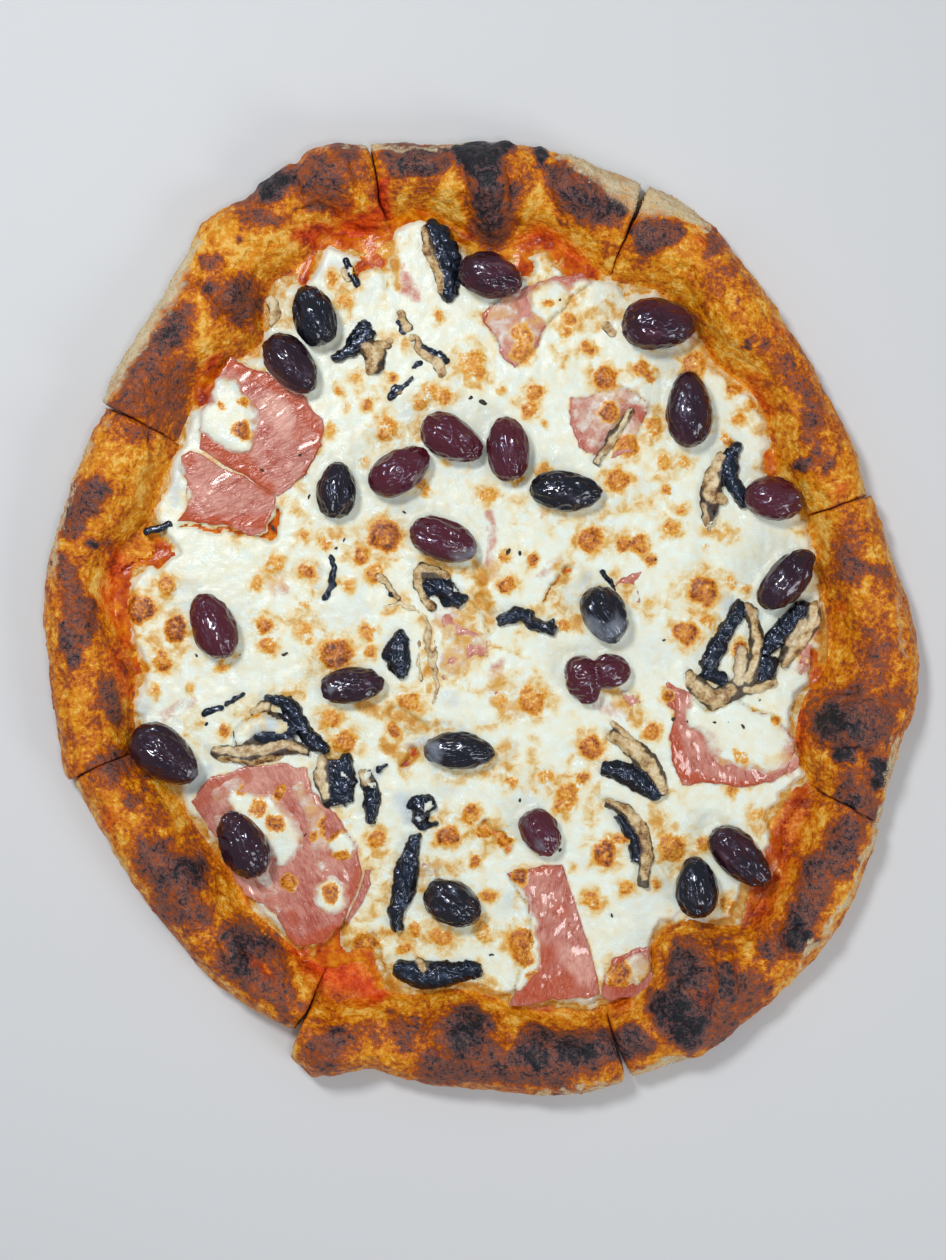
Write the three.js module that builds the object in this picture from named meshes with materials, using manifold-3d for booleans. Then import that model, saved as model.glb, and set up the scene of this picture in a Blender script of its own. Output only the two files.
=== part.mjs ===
// A capricciosa pizza, baked, and cut into eight slices that still lie together as one round.
// Millimetres, +Z up. The origin is under the middle of the pizza, on the surface it lies on.
// Eight slices of dough carry one sheet of melted cheese; ham, mushroom and olives lie in it.
import * as THREE from 'three';
import { mergeVertices } from 'three/addons/utils/BufferGeometryUtils.js';
import Module from 'manifold-3d';

const wasm = await Module();
wasm.setup();

// Driving dimensions.
const CUT_CENTRE = [1.8, 5.2];   // where the four straight cuts cross
const KERF = 0.7;                // width of a cut through the dough
const GAP = 0.3;                 // kept between pieces that touch
const BASE_THICKNESS = 4;        // flat dough under the topping
const CHEESE_THICKNESS = 3.3;    // melted mozzarella on it
const CHEESE_SETBACK = 3;        // from the foot of the rim to the cheese
const HAM_THICKNESS = 1.4;
const HAM_PROUD = 0.5;           // how far a slice of ham stands out of the cheese
const HAM_RIPPLE = 0.35;         // height of its waves
const HAM_RIPPLE_LENGTH = 5.5;   // from a crest to a trough is about three of these
const MUSHROOM_SUNK = 1.6;       // how deep a slice of mushroom lies in the cheese
const MUSHROOM_PROUD = 2.4;      // and how far it stands out
const SCRAP_PROUD = 1.2;         // the same for the smallest scraps
const OLIVE_FLOOR = 5.5;         // lowest point of an olive that is sunk in the cheese
const OLIVE_FLATNESS = 0.88;     // height of an olive as a part of its width
const OLIVE_TAPER = 0.13;        // how much one end is thinner than the other
const OLIVE_FURROW = 0.03;       // depth of its wrinkles as a part of its radius
const OLIVE_FURROWS = 5;         // how many run along it

const STATION_STEP = 3.2;        // degrees between cross-sections of the rim
const CHEESE_SPOKES = 76;
const OLIVE_SIDES = 10;
const OLIVE_BANDS = 6;

const WELD = 1e-3;               // corners nearer than this are one

const CHEESE_FLOOR = BASE_THICKNESS + GAP;
const CHEESE_TOP = CHEESE_FLOOR + CHEESE_THICKNESS;

const COLOURS = {
  dough: 0xc88a3e,
  cheese: 0xe8e2cc,
  olive: 0x3a1521,
  ham: 0xcb8277,
  mushroom: 0x4b3f33,
};
const ROUGHNESS = { dough: 0.85, cheese: 0.5, olive: 0.25, ham: 0.4, mushroom: 0.6 };

// The slices, anticlockwise from the right. A cut runs at each of `from` and `to`, in degrees, and
// `open` is how far the rim stands back from those two cuts. Each row of the rim gives an angle,
// and there the radius of the outer edge, the width of the rim and its height.
const SLICES = [
  {
    name: 'dough_slice_1', from: 15.5, to: 69.2, open: [0.2, 1.3],
    rim: [
      [15.5, 137.5, 23, 18], [24, 138.5, 27, 20], [31, 139, 23, 19], [37, 140, 21, 18],
      [47, 144, 27.5, 22], [52, 147, 27, 22], [61, 154, 29, 19], [69.2, 156.5, 36, 16],
    ],
  },
  {
    name: 'dough_slice_2', from: 69.2, to: 104.7, open: [1.2, 0.6],
    rim: [
      [69.2, 156, 34, 18], [77, 157.5, 31, 20], [83, 158.5, 28, 18], [89, 159.5, 36, 22],
      [94, 159.5, 28, 20], [99, 161, 23, 19], [104.7, 165, 28, 18],
    ],
  },
  {
    name: 'dough_slice_3', from: 104.7, to: 152.5, open: [0.6, 0.5],
    rim: [
      [104.7, 165, 31, 19], [108.6, 168.5, 31, 22], [112, 168.5, 28, 21], [118, 165, 29, 17],
      [121, 164, 29, 16], [126, 166.5, 33, 17], [130, 161, 40, 18], [135.5, 156, 34, 19],
      [142.5, 153.5, 29, 20], [152.5, 151.5, 29, 21],
    ],
  },
  {
    name: 'dough_slice_4', from: 152.5, to: 202.8, open: [0.7, 0.3],
    rim: [
      [152.5, 149, 28, 20], [160, 149.5, 28, 21], [166.5, 150, 28, 21], [171.5, 151, 22, 20],
      [177, 153, 23, 19], [182, 154, 25, 20], [188, 153.5, 30, 21], [195, 155, 27, 20],
      [202.8, 158, 25, 19],
    ],
  },
  {
    name: 'dough_slice_5', from: 202.8, to: 246.3, open: [0.3, 1.1],
    rim: [
      [202.8, 156, 25, 18], [207, 155, 26, 19], [212.5, 155, 27, 20], [218, 156.5, 28, 20],
      [225.5, 158, 28, 21], [230.5, 160.5, 26, 20], [236, 162, 26, 20], [246.3, 162.5, 22, 17],
    ],
  },
  {
    name: 'dough_slice_6', from: 246.3, to: 286.6, open: [0.9, 1.3],
    rim: [
      [246.3, 171.5, 25, 19], [249, 175, 26, 20], [251.5, 173, 28, 21], [254, 166.5, 26, 19],
      [259, 166.5, 27, 19], [265.5, 168, 33, 21], [272, 169.5, 31, 20], [278, 172, 27, 20],
      [286.6, 172.5, 25, 19],
    ],
  },
  {
    name: 'dough_slice_7', from: 286.6, to: 330.6, open: [1.3, 0.3],
    rim: [
      [286.6, 171.5, 25, 18], [293, 172, 31, 20], [297, 172.5, 42, 22], [302.5, 170, 39, 22],
      [308, 169, 25, 18], [313, 168, 26, 19], [320.5, 164, 28, 18], [330.6, 156, 24, 19],
    ],
  },
  {
    name: 'dough_slice_8', from: 330.6, to: 375.5, open: [0.3, 0.2],
    rim: [
      [330.6, 156.5, 26, 18], [335, 152.5, 33, 20], [342.5, 152, 36, 22], [352.5, 151.5, 30, 20],
      [361, 146, 28, 20], [366, 142.5, 26, 20], [372, 140, 24, 19], [375.5, 139, 23, 19],
    ],
  },
];

// The section of the rim from its outer foot, over the top and down to the sauce: how far in, as
// a part of the rim's width, and how high, as a part of its height.
const RIM_SECTION = [
  [0.2, 0], [0.06, 0.1], [0, 0.32], [0.03, 0.58], [0.13, 0.82], [0.29, 0.97],
  [0.46, 1], [0.62, 0.92], [0.76, 0.75], [0.88, 0.5], [0.97, 0.3],
];

// The section of the cheese: how far out, as a part of its reach, and how high, as a part of its
// thickness.
const CHEESE_SECTION = [[0, 0], [1, 0], [1, 0.25], [0.985, 0.7], [0.95, 1], [0, 1]];

// The section of a band of mushroom: across, as a part of half its width, and up, as a part of
// its height.
const BAND_SECTION = [[-1, 0], [1, 0], [0.92, 0.62], [0.5, 1], [-0.5, 1], [-0.92, 0.62]];

// The rings of a slice of ham, from the middle of its underside round to the middle of its top:
// how far out, as a part of its outline, and whether the ring is on top.
const HAM_RINGS = [[0, 0], [0.6, 0], [1, 0], [1, 1], [0.6, 1], [0, 1]];
// An outline's corners move out by this much for each millimetre that its sides do.
const CORNER_REACH = 1.4;

// Blisters on the rim: x, y, radius and height.
const BLISTERS = [
  [-52.5, 155, 13, 3.5], [-19.5, 156, 9, 1.5], [3, 149, 14, 4], [30.5, 149, 12, 2.5], [55, 131, 12, 2],
  [86, 100, 14, 2.5], [110, 51, 8, 1.5], [128, -37, 16, 3.5], [138, -51, 5, 1.5], [128, -73, 9, 1.5],
  [109.5, -110, 8, 3.5], [72.5, -127, 15, 3.5], [25.5, -148, 14, 2], [-2.5, -148, 12, 3.5],
  [-52.5, -148, 12, 4], [-84, -115, 9, 2], [-103, -89, 11, 3.5], [-129, -54, 12, 2.5],
  [-131, -24, 8, 1.5], [-136, 0, 9, 1.5], [-132, 45, 12, 2.5], [-118, 80, 12, 2], [-110, 97, 9, 1.5],
  [-84, 111, 10, 5], [-95, 116, 4, 1],
];

// Bays where sauce shows between rim and cheese: angle, half the angle they span, and depth.
const SAUCE_BAYS = [
  [24, 5, 4], [76, 5, 6], [88, 5, 15], [95, 3, 9], [108.8, 3.5, 10], [119, 4, 5], [171, 5, 18],
  [177.5, 4, 6], [228, 6, 6], [249.5, 6, 24], [279, 8, 4], [312, 5, 8], [324, 7, 13], [354, 5, 3],
];

// Olives: x, y, length, width, turn of the long axis in degrees, and how far it is lifted.
const OLIVES = [
  [-58, 104.5, 22, 15.5, 104, 0], [-65.5, 88, 24, 15.5, -49, 0], [3, 118.5, 23, 16, -15, 0],
  [61, 101.5, 25.5, 18, -3, 0], [71.5, 72.5, 26.5, 16.5, 92, 0], [-10, 62.5, 23.5, 15.5, -30, 0],
  [9, 58.5, 23, 15, 95, 0], [-28.5, 51, 23.5, 15.5, 32, 0], [-50, 44.5, 19.5, 14, 85, 0],
  [29, 44.5, 25.5, 14, -5, 0], [-13, 27, 24.5, 14.5, -18, 0], [101, 41.5, 20, 15.5, -8, 0],
  [105.5, 13.5, 25, 14.5, 48, 0.5], [42.5, 1.5, 21, 16, -58, -0.3], [-92.5, -2.5, 25, 15.5, 111, 0],
  [-44.5, -23, 22, 13, 5, 0], [-109, -47, 27, 18, -38, 1], [-7.5, -45.5, 25, 13, -3, 0],
  [-82, -77.5, 25, 16.5, 115, 2.8], [20.5, -74, 18, 14, -60, 0], [-10, -98, 21.5, 16, -22, 0],
  [74.5, -92.5, 21.5, 15.5, 95, 0], [89.5, -82.5, 26.5, 15.5, -47, 0],
];
// One olive is torn, and its two halves still hang together.
const TORN_OLIVE = [[35.5, -21.5, 17.5, 12.5, -70, 0], [45, -18.5, 14, 12.5, 0, 0]];

// Slices of ham: the corners of each outline, anticlockwise. Cuts part two of them.
const HAM = {
  ham_1_upper: [
    [-87.5, 91.5], [-92, 83], [-97.5, 72.5], [-97.5, 60], [-84, 52], [-70.5, 44], [-62, 48],
    [-55.5, 59.5], [-55, 69], [-60.5, 75.5], [-74, 85],
  ],
  ham_1_lower: [
    [-98, 58.2], [-104.5, 56.5], [-101.5, 48], [-102.5, 41.5], [-105.5, 34], [-96.5, 33], [-84, 30.5],
    [-75, 30], [-71.5, 41.7], [-85, 50.2],
  ],
  ham_2_upper: [
    [-100.5, -63], [-95.5, -72], [-86, -86.5], [-82.5, -94.5], [-74, -100.5], [-68, -109],
    [-62.5, -113], [-56, -112], [-49.5, -106], [-42.3, -88], [-42, -80], [-49, -69], [-58, -60],
    [-61, -50.5], [-70, -49.5], [-83, -51.5], [-93, -55.5],
  ],
  ham_2_lower: [
    [-41.5, -86.5], [-45.2, -96], [-48.8, -106], [-45, -106.5], [-40.5, -99], [-37.5, -92.5],
    [-38, -86.5],
  ],
  ham_3: [
    [10, -88], [15, -99], [17, -113], [13.5, -124], [10, -134], [27, -132.5], [40.3, -130.5],
    [37.3, -117.5], [34, -104.5], [31, -94], [29.5, -85.5], [18.5, -85.5],
  ],
  ham_4: [
    [43.5, -123.5], [43, -130], [45.5, -132.5], [53.5, -131], [59, -128], [60, -122], [58.5, -113.5],
    [52.5, -115], [46, -117.5],
  ],
  ham_5: [
    [64, -22], [66.5, -35], [65.5, -50.5], [69.5, -56], [80.5, -58], [95, -58.5], [106, -54.5],
    [109, -43.5], [102, -33.5], [86, -28], [72.5, -24.5],
  ],
  ham_6: [
    [1, 106.5], [2.5, 100.5], [5.5, 93.5], [12, 86.5], [19.5, 93.5], [22, 102], [30.5, 110.5],
    [37.5, 116], [35, 120.5], [24.5, 118], [15, 115], [6.5, 110.5],
  ],
  ham_7: [
    [31.5, 76.5], [30.5, 67.5], [34, 59.5], [42.5, 56.5], [52, 59], [56.5, 67.5], [58.5, 75.5],
    [51, 80], [40.5, 78.5],
  ],
};

// Slices of mushroom. Each is one to three bands, cap, stem or dark gills, that have grown
// together, and each band is a path of x, y and width.
const MUSHROOMS = {
  mushroom_1: [[[-17.5, 137, 5], [-15.5, 131, 7.5], [-13, 122.5, 8.5], [-11, 112, 6]]],
  mushroom_2: [
    [[-51.5, 90, 3], [-45.5, 93.5, 5], [-38.5, 100.5, 5]],
    [[-41, 95.5, 5.5], [-36.5, 91.5, 7.5], [-37.5, 85.5, 3.5]],
  ],
  mushroom_3: [[[52, 73, 1.5], [45.5, 63, 3], [39.5, 53.5, 3]]],
  mushroom_4: [
    [[88.5, 60.5, 4], [86, 52.5, 5], [88, 45.5, 5.5], [92, 39.5, 5]],
    [[84, 55, 4], [80.5, 47.5, 7.5], [79, 39, 7], [79, 33, 2]],
  ],
  mushroom_5: [
    [[90.5, 6, 4], [84.5, -4.5, 6], [78, -17.5, 7]],
    [[92.5, 5, 3.5], [95.5, -5.5, 5], [94.5, -17, 5.5], [88, -24.5, 7.5], [80, -28, 7.5], [74, -21, 5]],
    [[99.5, -12.5, 6], [98, -22.5, 8.5]],
  ],
  mushroom_6: [
    [[111, 4.5, 5], [105.5, -3, 7], [99, -10, 6]],
    [[115.5, 4.5, 5], [112, -4, 7], [104, -15, 4]],
  ],
  mushroom_7: [
    [[5.5, -1, 3.5], [12, 1.5, 5], [18, 1, 4]],
    [[15.5, -0.5, 3.5], [25.5, -4, 4]],
  ],
  mushroom_8: [[[-22.5, 17.5, 5], [-16, 13, 8.5], [-7, 5.5, 4.5]]],
  mushroom_9: [[[-27.5, -5, 4], [-29.5, -12.5, 10.5], [-27.5, -20, 4]]],
  mushroom_10: [
    [[-93.5, -45.5, 3], [-85.5, -48, 4], [-76, -47.5, 4], [-66.5, -44.5, 4], [-59.5, -46, 3]],
    [[-75, -27.5, 3], [-68, -29, 5], [-63, -35.5, 5.5], [-59, -42.5, 5.5], [-53.5, -45.5, 3]],
    [[-85, -42, 7], [-74, -38, 12.5], [-64.5, -40.5, 9]],
  ],
  mushroom_11: [[[-51, -48.5, 11], [-50.5, -56.5, 15.5], [-49, -64.5, 10.5]]],
  mushroom_12: [[[-40.5, -53, 5], [-38, -61, 6], [-38.5, -71, 4]]],
  mushroom_13: [[[-19.5, -62, 5.5], [-20.5, -67, 6], [-23, -71.5, 3.5]]],
  mushroom_14: [[[-23, -75, 4], [-25.5, -84.5, 7.5], [-27, -94, 8.5], [-29.5, -101.5, 5], [-29.5, -108, 4]]],
  mushroom_15: [[[-30.5, -121, 5], [-23, -123.5, 9.5], [-11, -123, 9], [0, -121.5, 4]]],
  mushroom_16: [
    [[44.5, -39.5, 3], [53.5, -45.5, 7], [60, -53, 7], [63, -61.5, 3]],
    [[42, -51.5, 5], [51.5, -54, 8], [61, -62, 5.5]],
  ],
  mushroom_17: [
    [[43, -63.5, 3], [50, -66.5, 4], [55.5, -74.5, 4.5], [57, -83.5, 4.5], [56, -92.5, 3]],
    [[47, -68, 2.5], [52.5, -76, 4.5], [53.5, -84.5, 4]],
  ],
};
// This slice lies over the olive beside it.
const UPPERMOST = 'mushroom_4';

// Scraps of mushroom and olive skin that are baked into the cheese.
const SCRAPS = [
  [[-46.5, 124.5, 1.5], [-42, 115.5, 2.5]], [[-19.5, 93.5, 3.5], [-15.5, 90, 5], [-12.5, 83.5, 3.5]],
  [[-27.5, 106, 4], [-25.5, 97.5, 5]], [[-32, 77.5, 3.5], [-23.5, 81, 3]],
  [[-35, 13, 4], [-28.5, 7.5, 5]], [[-19, 0, 3], [-19.5, -9, 4], [-17, -18.5, 3.5]],
  [[-52, 22, 2], [-51.5, 14, 4.5], [-54, 7.5, 3]], [[-97.5, -32.5, 2], [-90.5, -31, 3]],
  [[-90, -28, 2], [-83, -26, 3]], [[50, 8.5, 3], [55.5, 13, 3]],
];

function radians(degrees) {
  return THREE.MathUtils.degToRad(degrees);
}

// The row of numbers at an angle, along a smooth curve through rows that start with an angle.
function between(rows, angle) {
  const last = rows.length - 1;
  const found = rows.findIndex((row) => row[0] > angle);
  const after = THREE.MathUtils.clamp(found < 0 ? last : found, 1, last);
  const before = after - 1;
  const span = rows[after][0] - rows[before][0];
  const u = (angle - rows[before][0]) / span;
  const slope = (row, column) => {
    const low = rows[Math.max(row - 1, 0)];
    const high = rows[Math.min(row + 1, last)];
    return (high[column] - low[column]) / (high[0] - low[0]);
  };
  return rows[before].map((value, column) => {
    const next = rows[after][column];
    const rise = next - value;
    const leave = slope(before, column) * span - rise;
    const arrive = rise - slope(after, column) * span;
    return value + rise * u + u * (1 - u) * (leave * (1 - u) + arrive * u);
  });
}

function rimAt(slice, angle) {
  const [, radius, width, height] = between(slice.rim, angle);
  return { radius, width, height };
}

// The slice that holds an angle, and the angle as that slice counts it.
function sliceAt(angle) {
  const first = SLICES[0].from;
  const turned = first + THREE.MathUtils.euclideanModulo(angle - first, 360);
  return { slice: SLICES.find((slice) => turned < slice.to), turned };
}

// How high the blisters of the rim lift the crust at a place.
function blisterAt(x, y) {
  let lift = 0;
  for (const [centreX, centreY, radius, height] of BLISTERS) {
    const away = Math.hypot(x - centreX, y - centreY) / radius;
    if (away < 1) {
      lift = Math.max(lift, height * (1 - away * away) ** 2);
    }
  }
  return lift;
}

// How far the cheese reaches from the crossing of the cuts.
function cheeseReach(angle) {
  const { slice, turned } = sliceAt(angle);
  const { radius, width } = rimAt(slice, turned);
  let reach = radius - width - CHEESE_SETBACK;
  for (const [centre, half, depth] of SAUCE_BAYS) {
    const away = Math.abs(THREE.MathUtils.euclideanModulo(angle - centre + 180, 360) - 180) / half;
    if (away < 1) {
      reach -= depth * (1 - away * away) ** 2;
    }
  }
  return reach;
}

// A closed skin through loops of points that all have the same count. `face` is the shape of
// the two end loops in two coordinates, or nothing where each end loop is a single point.
function loft(loops, face) {
  const count = loops[0].length;
  const index = [];
  for (let row = 0; row < loops.length - 1; row += 1) {
    for (let side = 0; side < count; side += 1) {
      const a = row * count + side;
      const b = row * count + ((side + 1) % count);
      index.push(a, b, b + count, a, b + count, a + count);
    }
  }
  if (face) {
    const top = (loops.length - 1) * count;
    const close = (end) => THREE.ShapeUtils.triangulateShape(face(end), []);
    close(0).forEach(([a, b, c]) => index.push(a, c, b));
    close(loops.length - 1).forEach(([a, b, c]) => index.push(top + a, top + b, top + c));
  }
  const geometry = new THREE.BufferGeometry();
  geometry.setAttribute('position', new THREE.Float32BufferAttribute(loops.flat(2), 3));
  geometry.setIndex(index);
  return solidOf(geometry);
}

// A geometry as a solid that can be joined and cut.
function solidOf(geometry) {
  geometry.deleteAttribute('normal');
  geometry.deleteAttribute('uv');
  const welded = mergeVertices(geometry, WELD);
  const corners = welded.index.array;
  const triVerts = [];
  for (let at = 0; at < corners.length; at += 3) {
    const [a, b, c] = corners.slice(at, at + 3);
    if (a !== b && b !== c && c !== a) {
      triVerts.push(a, b, c);
    }
  }
  return new wasm.Manifold(new wasm.Mesh({
    numProp: 3,
    vertProperties: new Float32Array(welded.attributes.position.array),
    triVerts: new Uint32Array(triVerts),
  }));
}

// One slice of dough: the section of the rim swept round, with a flat base in to the tip.
function doughSlice(slice) {
  const half = radians(slice.to - slice.from) / 2;
  const middle = radians(slice.from) + half;
  const inset = KERF / 2 / Math.sin(half);
  const tip = [CUT_CENTRE[0] + inset * Math.cos(middle), CUT_CENTRE[1] + inset * Math.sin(middle)];
  const steps = Math.round((slice.to - slice.from) / STATION_STEP);
  const profiles = [];
  const loops = [];
  for (let step = 0; step <= steps; step += 1) {
    const along = step / steps;
    const angle = THREE.MathUtils.lerp(slice.from, slice.to, along);
    const { radius, width, height } = rimAt(slice, angle);
    const edge = radius - inset;
    const foot = edge - width;
    const profile = [[0, 0, 0]];
    RIM_SECTION.forEach(([inward, up]) => profile.push([edge - inward * width, up * height, up]));
    profile.push([foot, BASE_THICKNESS, 0], [0, BASE_THICKNESS, 0]);
    profiles.push(profile.map(([out, up]) => new THREE.Vector2(out, up)));
    loops.push(profile.map(([out, up, blistered]) => {
      const atRim = THREE.MathUtils.smoothstep(out, foot, edge);
      const standBack = THREE.MathUtils.lerp(slice.open[0], -slice.open[1], along) * atRim;
      const turned = radians(angle) + standBack / Math.max(out, 1);
      const x = tip[0] + out * Math.cos(turned);
      const y = tip[1] + out * Math.sin(turned);
      return [x, y, up + blistered * blisterAt(x, y)];
    }));
  }
  return loft(loops.reverse(), (end) => profiles[end === 0 ? steps : 0]);
}

// The cheese: a sheet with a wandering, rounded edge.
function cheeseSheet() {
  return loft(CHEESE_SECTION.map(([part, up]) => {
    const loop = [];
    for (let spoke = 0; spoke < CHEESE_SPOKES; spoke += 1) {
      const angle = (360 / CHEESE_SPOKES) * spoke;
      const out = cheeseReach(angle) * part;
      const x = CUT_CENTRE[0] + out * Math.cos(radians(angle));
      const y = CUT_CENTRE[1] + out * Math.sin(radians(angle));
      loop.push([x, y, CHEESE_FLOOR + up * CHEESE_THICKNESS]);
    }
    return loop;
  }));
}

// An olive: an egg with shallow furrows along it. `grow` makes it larger all round.
function olive([x, y, length, width, turn, lift], grow = 0) {
  const egg = new THREE.SphereGeometry(1, OLIVE_SIDES, OLIVE_BANDS);
  egg.rotateZ(-Math.PI / 2);
  const half = (width * OLIVE_FLATNESS) / 2;
  const place = egg.attributes.position;
  for (let at = 0; at < place.count; at += 1) {
    const along = place.getX(at);
    const round = Math.atan2(place.getZ(at), place.getY(at));
    const fat = (1 - OLIVE_TAPER * along) * (1 + OLIVE_FURROW * Math.cos(OLIVE_FURROWS * round + x));
    place.setXYZ(
      at,
      along * (length / 2 + grow),
      place.getY(at) * fat * (width / 2 + grow),
      place.getZ(at) * fat * (half + grow),
    );
  }
  egg.rotateZ(radians(turn));
  egg.translate(x, y, OLIVE_FLOOR + half + lift);
  return solidOf(egg);
}

// A band of mushroom: a low ridge along a path of x, y and width, sunk in the cheese.
function band(path, rise, grow = 0) {
  const curve = new THREE.CatmullRomCurve3(path.map(([x, y, width]) => new THREE.Vector3(x, y, width)));
  const steps = (path.length - 1) * 2;
  const floor = CHEESE_TOP - MUSHROOM_SUNK - grow;
  const height = MUSHROOM_SUNK + rise + 2 * grow;
  const loops = [];
  for (let step = 0; step <= steps; step += 1) {
    const u = step / steps;
    const point = curve.getPoint(u);
    const heading = curve.getTangent(u).setZ(0).normalize();
    // Only the first loop moves back and the last one forward.
    const endwise = grow * (Math.sign(step - steps) + Math.sign(step));
    const x = point.x + heading.x * endwise;
    const y = point.y + heading.y * endwise;
    const half = point.z / 2 + grow;
    loops.push(BAND_SECTION.map(([across, up]) => [
      x + heading.y * across * half,
      y - heading.x * across * half,
      floor + up * height,
    ]));
  }
  const face = BAND_SECTION.map(([across, up]) => new THREE.Vector2(across, up));
  return loft(loops.reverse(), () => face);
}

function mushroom(bands, grow = 0) {
  return bands.map((path) => band(path, MUSHROOM_PROUD, grow)).reduce((all, next) => all.add(next));
}

// A slice of ham: a thin sheet that follows the cheese and ripples a little.
function hamSlice(outline, grow = 0) {
  const middleX = outline.reduce((sum, [x]) => sum + x, 0) / outline.length;
  const middleY = outline.reduce((sum, [, y]) => sum + y, 0) / outline.length;
  return loft(HAM_RINGS.map(([part, up]) => outline.map(([cornerX, cornerY]) => {
    const reach = Math.hypot(cornerX - middleX, cornerY - middleY);
    const wider = part * (1 + (CORNER_REACH * grow) / reach);
    const x = middleX + (cornerX - middleX) * wider;
    const y = middleY + (cornerY - middleY) * wider;
    const wave = Math.sin(x / HAM_RIPPLE_LENGTH) * Math.sin(y / HAM_RIPPLE_LENGTH);
    const top = CHEESE_TOP + HAM_PROUD + HAM_RIPPLE * wave * (1 - part * part);
    return [x, y, up ? top + grow : top - HAM_THICKNESS - grow];
  })));
}

function boxesMeet(one, other) {
  const a = one.boundingBox();
  const b = other.boundingBox();
  return [0, 1, 2].every((axis) => a.min[axis] < b.max[axis] && b.min[axis] < a.max[axis]);
}

// A solid without what the cutters take from it, less any scrap that comes loose.
function cutBy(solid, cutters) {
  const near = cutters.filter((cutter) => boxesMeet(solid, cutter));
  const pieces = near.reduce((left, cutter) => left.subtract(cutter), solid).decompose();
  return pieces.reduce((largest, piece) => (piece.volume() > largest.volume() ? piece : largest));
}

const materials = Object.fromEntries(Object.keys(COLOURS).map((name) => [
  name,
  new THREE.MeshStandardMaterial({ color: COLOURS[name], roughness: ROUGHNESS[name], metalness: 0 }),
]));

const pizza = new THREE.Group();

function addPiece(name, solid, material) {
  const { vertProperties, triVerts } = solid.getMesh();
  const geometry = new THREE.BufferGeometry();
  geometry.setAttribute('position', new THREE.BufferAttribute(vertProperties, 3));
  geometry.setIndex(new THREE.BufferAttribute(triVerts, 1));
  geometry.computeVertexNormals();
  const piece = new THREE.Mesh(geometry, materials[material]);
  piece.name = name;
  pizza.add(piece);
}

// Toppings from the uppermost down. Each is cut clear of those that were laid before it.
const laid = [];

function layTopping(name, make, material) {
  addPiece(name, cutBy(make(0), laid), material);
  laid.push(make(GAP));
}

layTopping(UPPERMOST, (grow) => mushroom(MUSHROOMS[UPPERMOST], grow), 'mushroom');
OLIVES.forEach((row, number) => {
  layTopping(`olive_${number + 1}`, (grow) => olive(row, grow), 'olive');
});
layTopping('olive_torn', (grow) => olive(TORN_OLIVE[0], grow).add(olive(TORN_OLIVE[1], grow)), 'olive');
Object.keys(MUSHROOMS).filter((name) => name !== UPPERMOST).forEach((name) => {
  layTopping(name, (grow) => mushroom(MUSHROOMS[name], grow), 'mushroom');
});
Object.keys(HAM).forEach((name) => {
  layTopping(name, (grow) => hamSlice(HAM[name], grow), 'ham');
});

const cheese = SCRAPS.reduce((sheet, path) => sheet.add(band(path, SCRAP_PROUD)), cheeseSheet());
addPiece('cheese', cutBy(cheese, laid), 'cheese');
SLICES.forEach((slice) => {
  addPiece(slice.name, cutBy(doughSlice(slice), laid), 'dough');
});

export default pizza;
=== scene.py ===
import itertools

import bpy
import numpy as np
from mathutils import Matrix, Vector
from mathutils.bvhtree import BVHTree


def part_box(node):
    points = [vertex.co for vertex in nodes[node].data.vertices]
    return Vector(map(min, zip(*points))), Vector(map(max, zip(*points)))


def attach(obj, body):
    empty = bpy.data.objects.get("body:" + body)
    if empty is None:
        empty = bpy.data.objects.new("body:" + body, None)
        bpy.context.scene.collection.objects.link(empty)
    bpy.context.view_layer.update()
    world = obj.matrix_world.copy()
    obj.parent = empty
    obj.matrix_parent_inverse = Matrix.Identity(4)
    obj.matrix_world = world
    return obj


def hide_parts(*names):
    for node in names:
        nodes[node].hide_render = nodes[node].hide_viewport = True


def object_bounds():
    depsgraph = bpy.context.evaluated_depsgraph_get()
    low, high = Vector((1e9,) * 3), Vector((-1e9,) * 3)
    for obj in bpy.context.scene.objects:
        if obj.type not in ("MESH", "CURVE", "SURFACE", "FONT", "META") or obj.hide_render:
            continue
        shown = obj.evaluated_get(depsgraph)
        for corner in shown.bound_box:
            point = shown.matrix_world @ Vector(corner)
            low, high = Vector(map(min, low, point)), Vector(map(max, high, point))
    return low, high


# A capricciosa pizza, baked, and cut into eight slices that still lie together as one round.
# The frame's metres, with +Z up. The pizza lies on the floor at Z 0.
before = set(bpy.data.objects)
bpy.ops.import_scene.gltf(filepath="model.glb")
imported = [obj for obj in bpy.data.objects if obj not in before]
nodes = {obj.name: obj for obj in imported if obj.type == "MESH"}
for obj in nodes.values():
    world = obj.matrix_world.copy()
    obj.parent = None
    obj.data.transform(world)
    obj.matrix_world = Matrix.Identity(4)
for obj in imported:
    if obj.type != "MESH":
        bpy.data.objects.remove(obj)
cad_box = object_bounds()
MM = 0.001


# ---- The studio --------------------------------------------------------------------------------
# The pizza is seen from straight above, as in the photograph: a pale floor, one large soft lamp
# nearly overhead for the glints on olives and ham, and even light from all round.
PIXEL = 0.347 * MM                 # what one pixel of the photograph covers on the topping
PIXEL_OVER_ORIGIN = (481.5, 619.0)
PIXEL_IN_THE_MIDDLE = (473.0, 630.0)
PHOTO_LENGTH = 1260                # pixels along the photograph's long side
TOPPING_PLANE = 8 * MM
CAMERA_RISE = 0.8                  # from the topping up to the camera
SENSOR = 36.0
FLOOR_HALF = 3.0


def place_of(pixel):
    """Where a pixel of the photograph lies on the topping, as x and y."""
    across = (pixel[0] - PIXEL_OVER_ORIGIN[0]) * PIXEL
    up = (PIXEL_OVER_ORIGIN[1] - pixel[1]) * PIXEL
    return across, up


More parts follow.
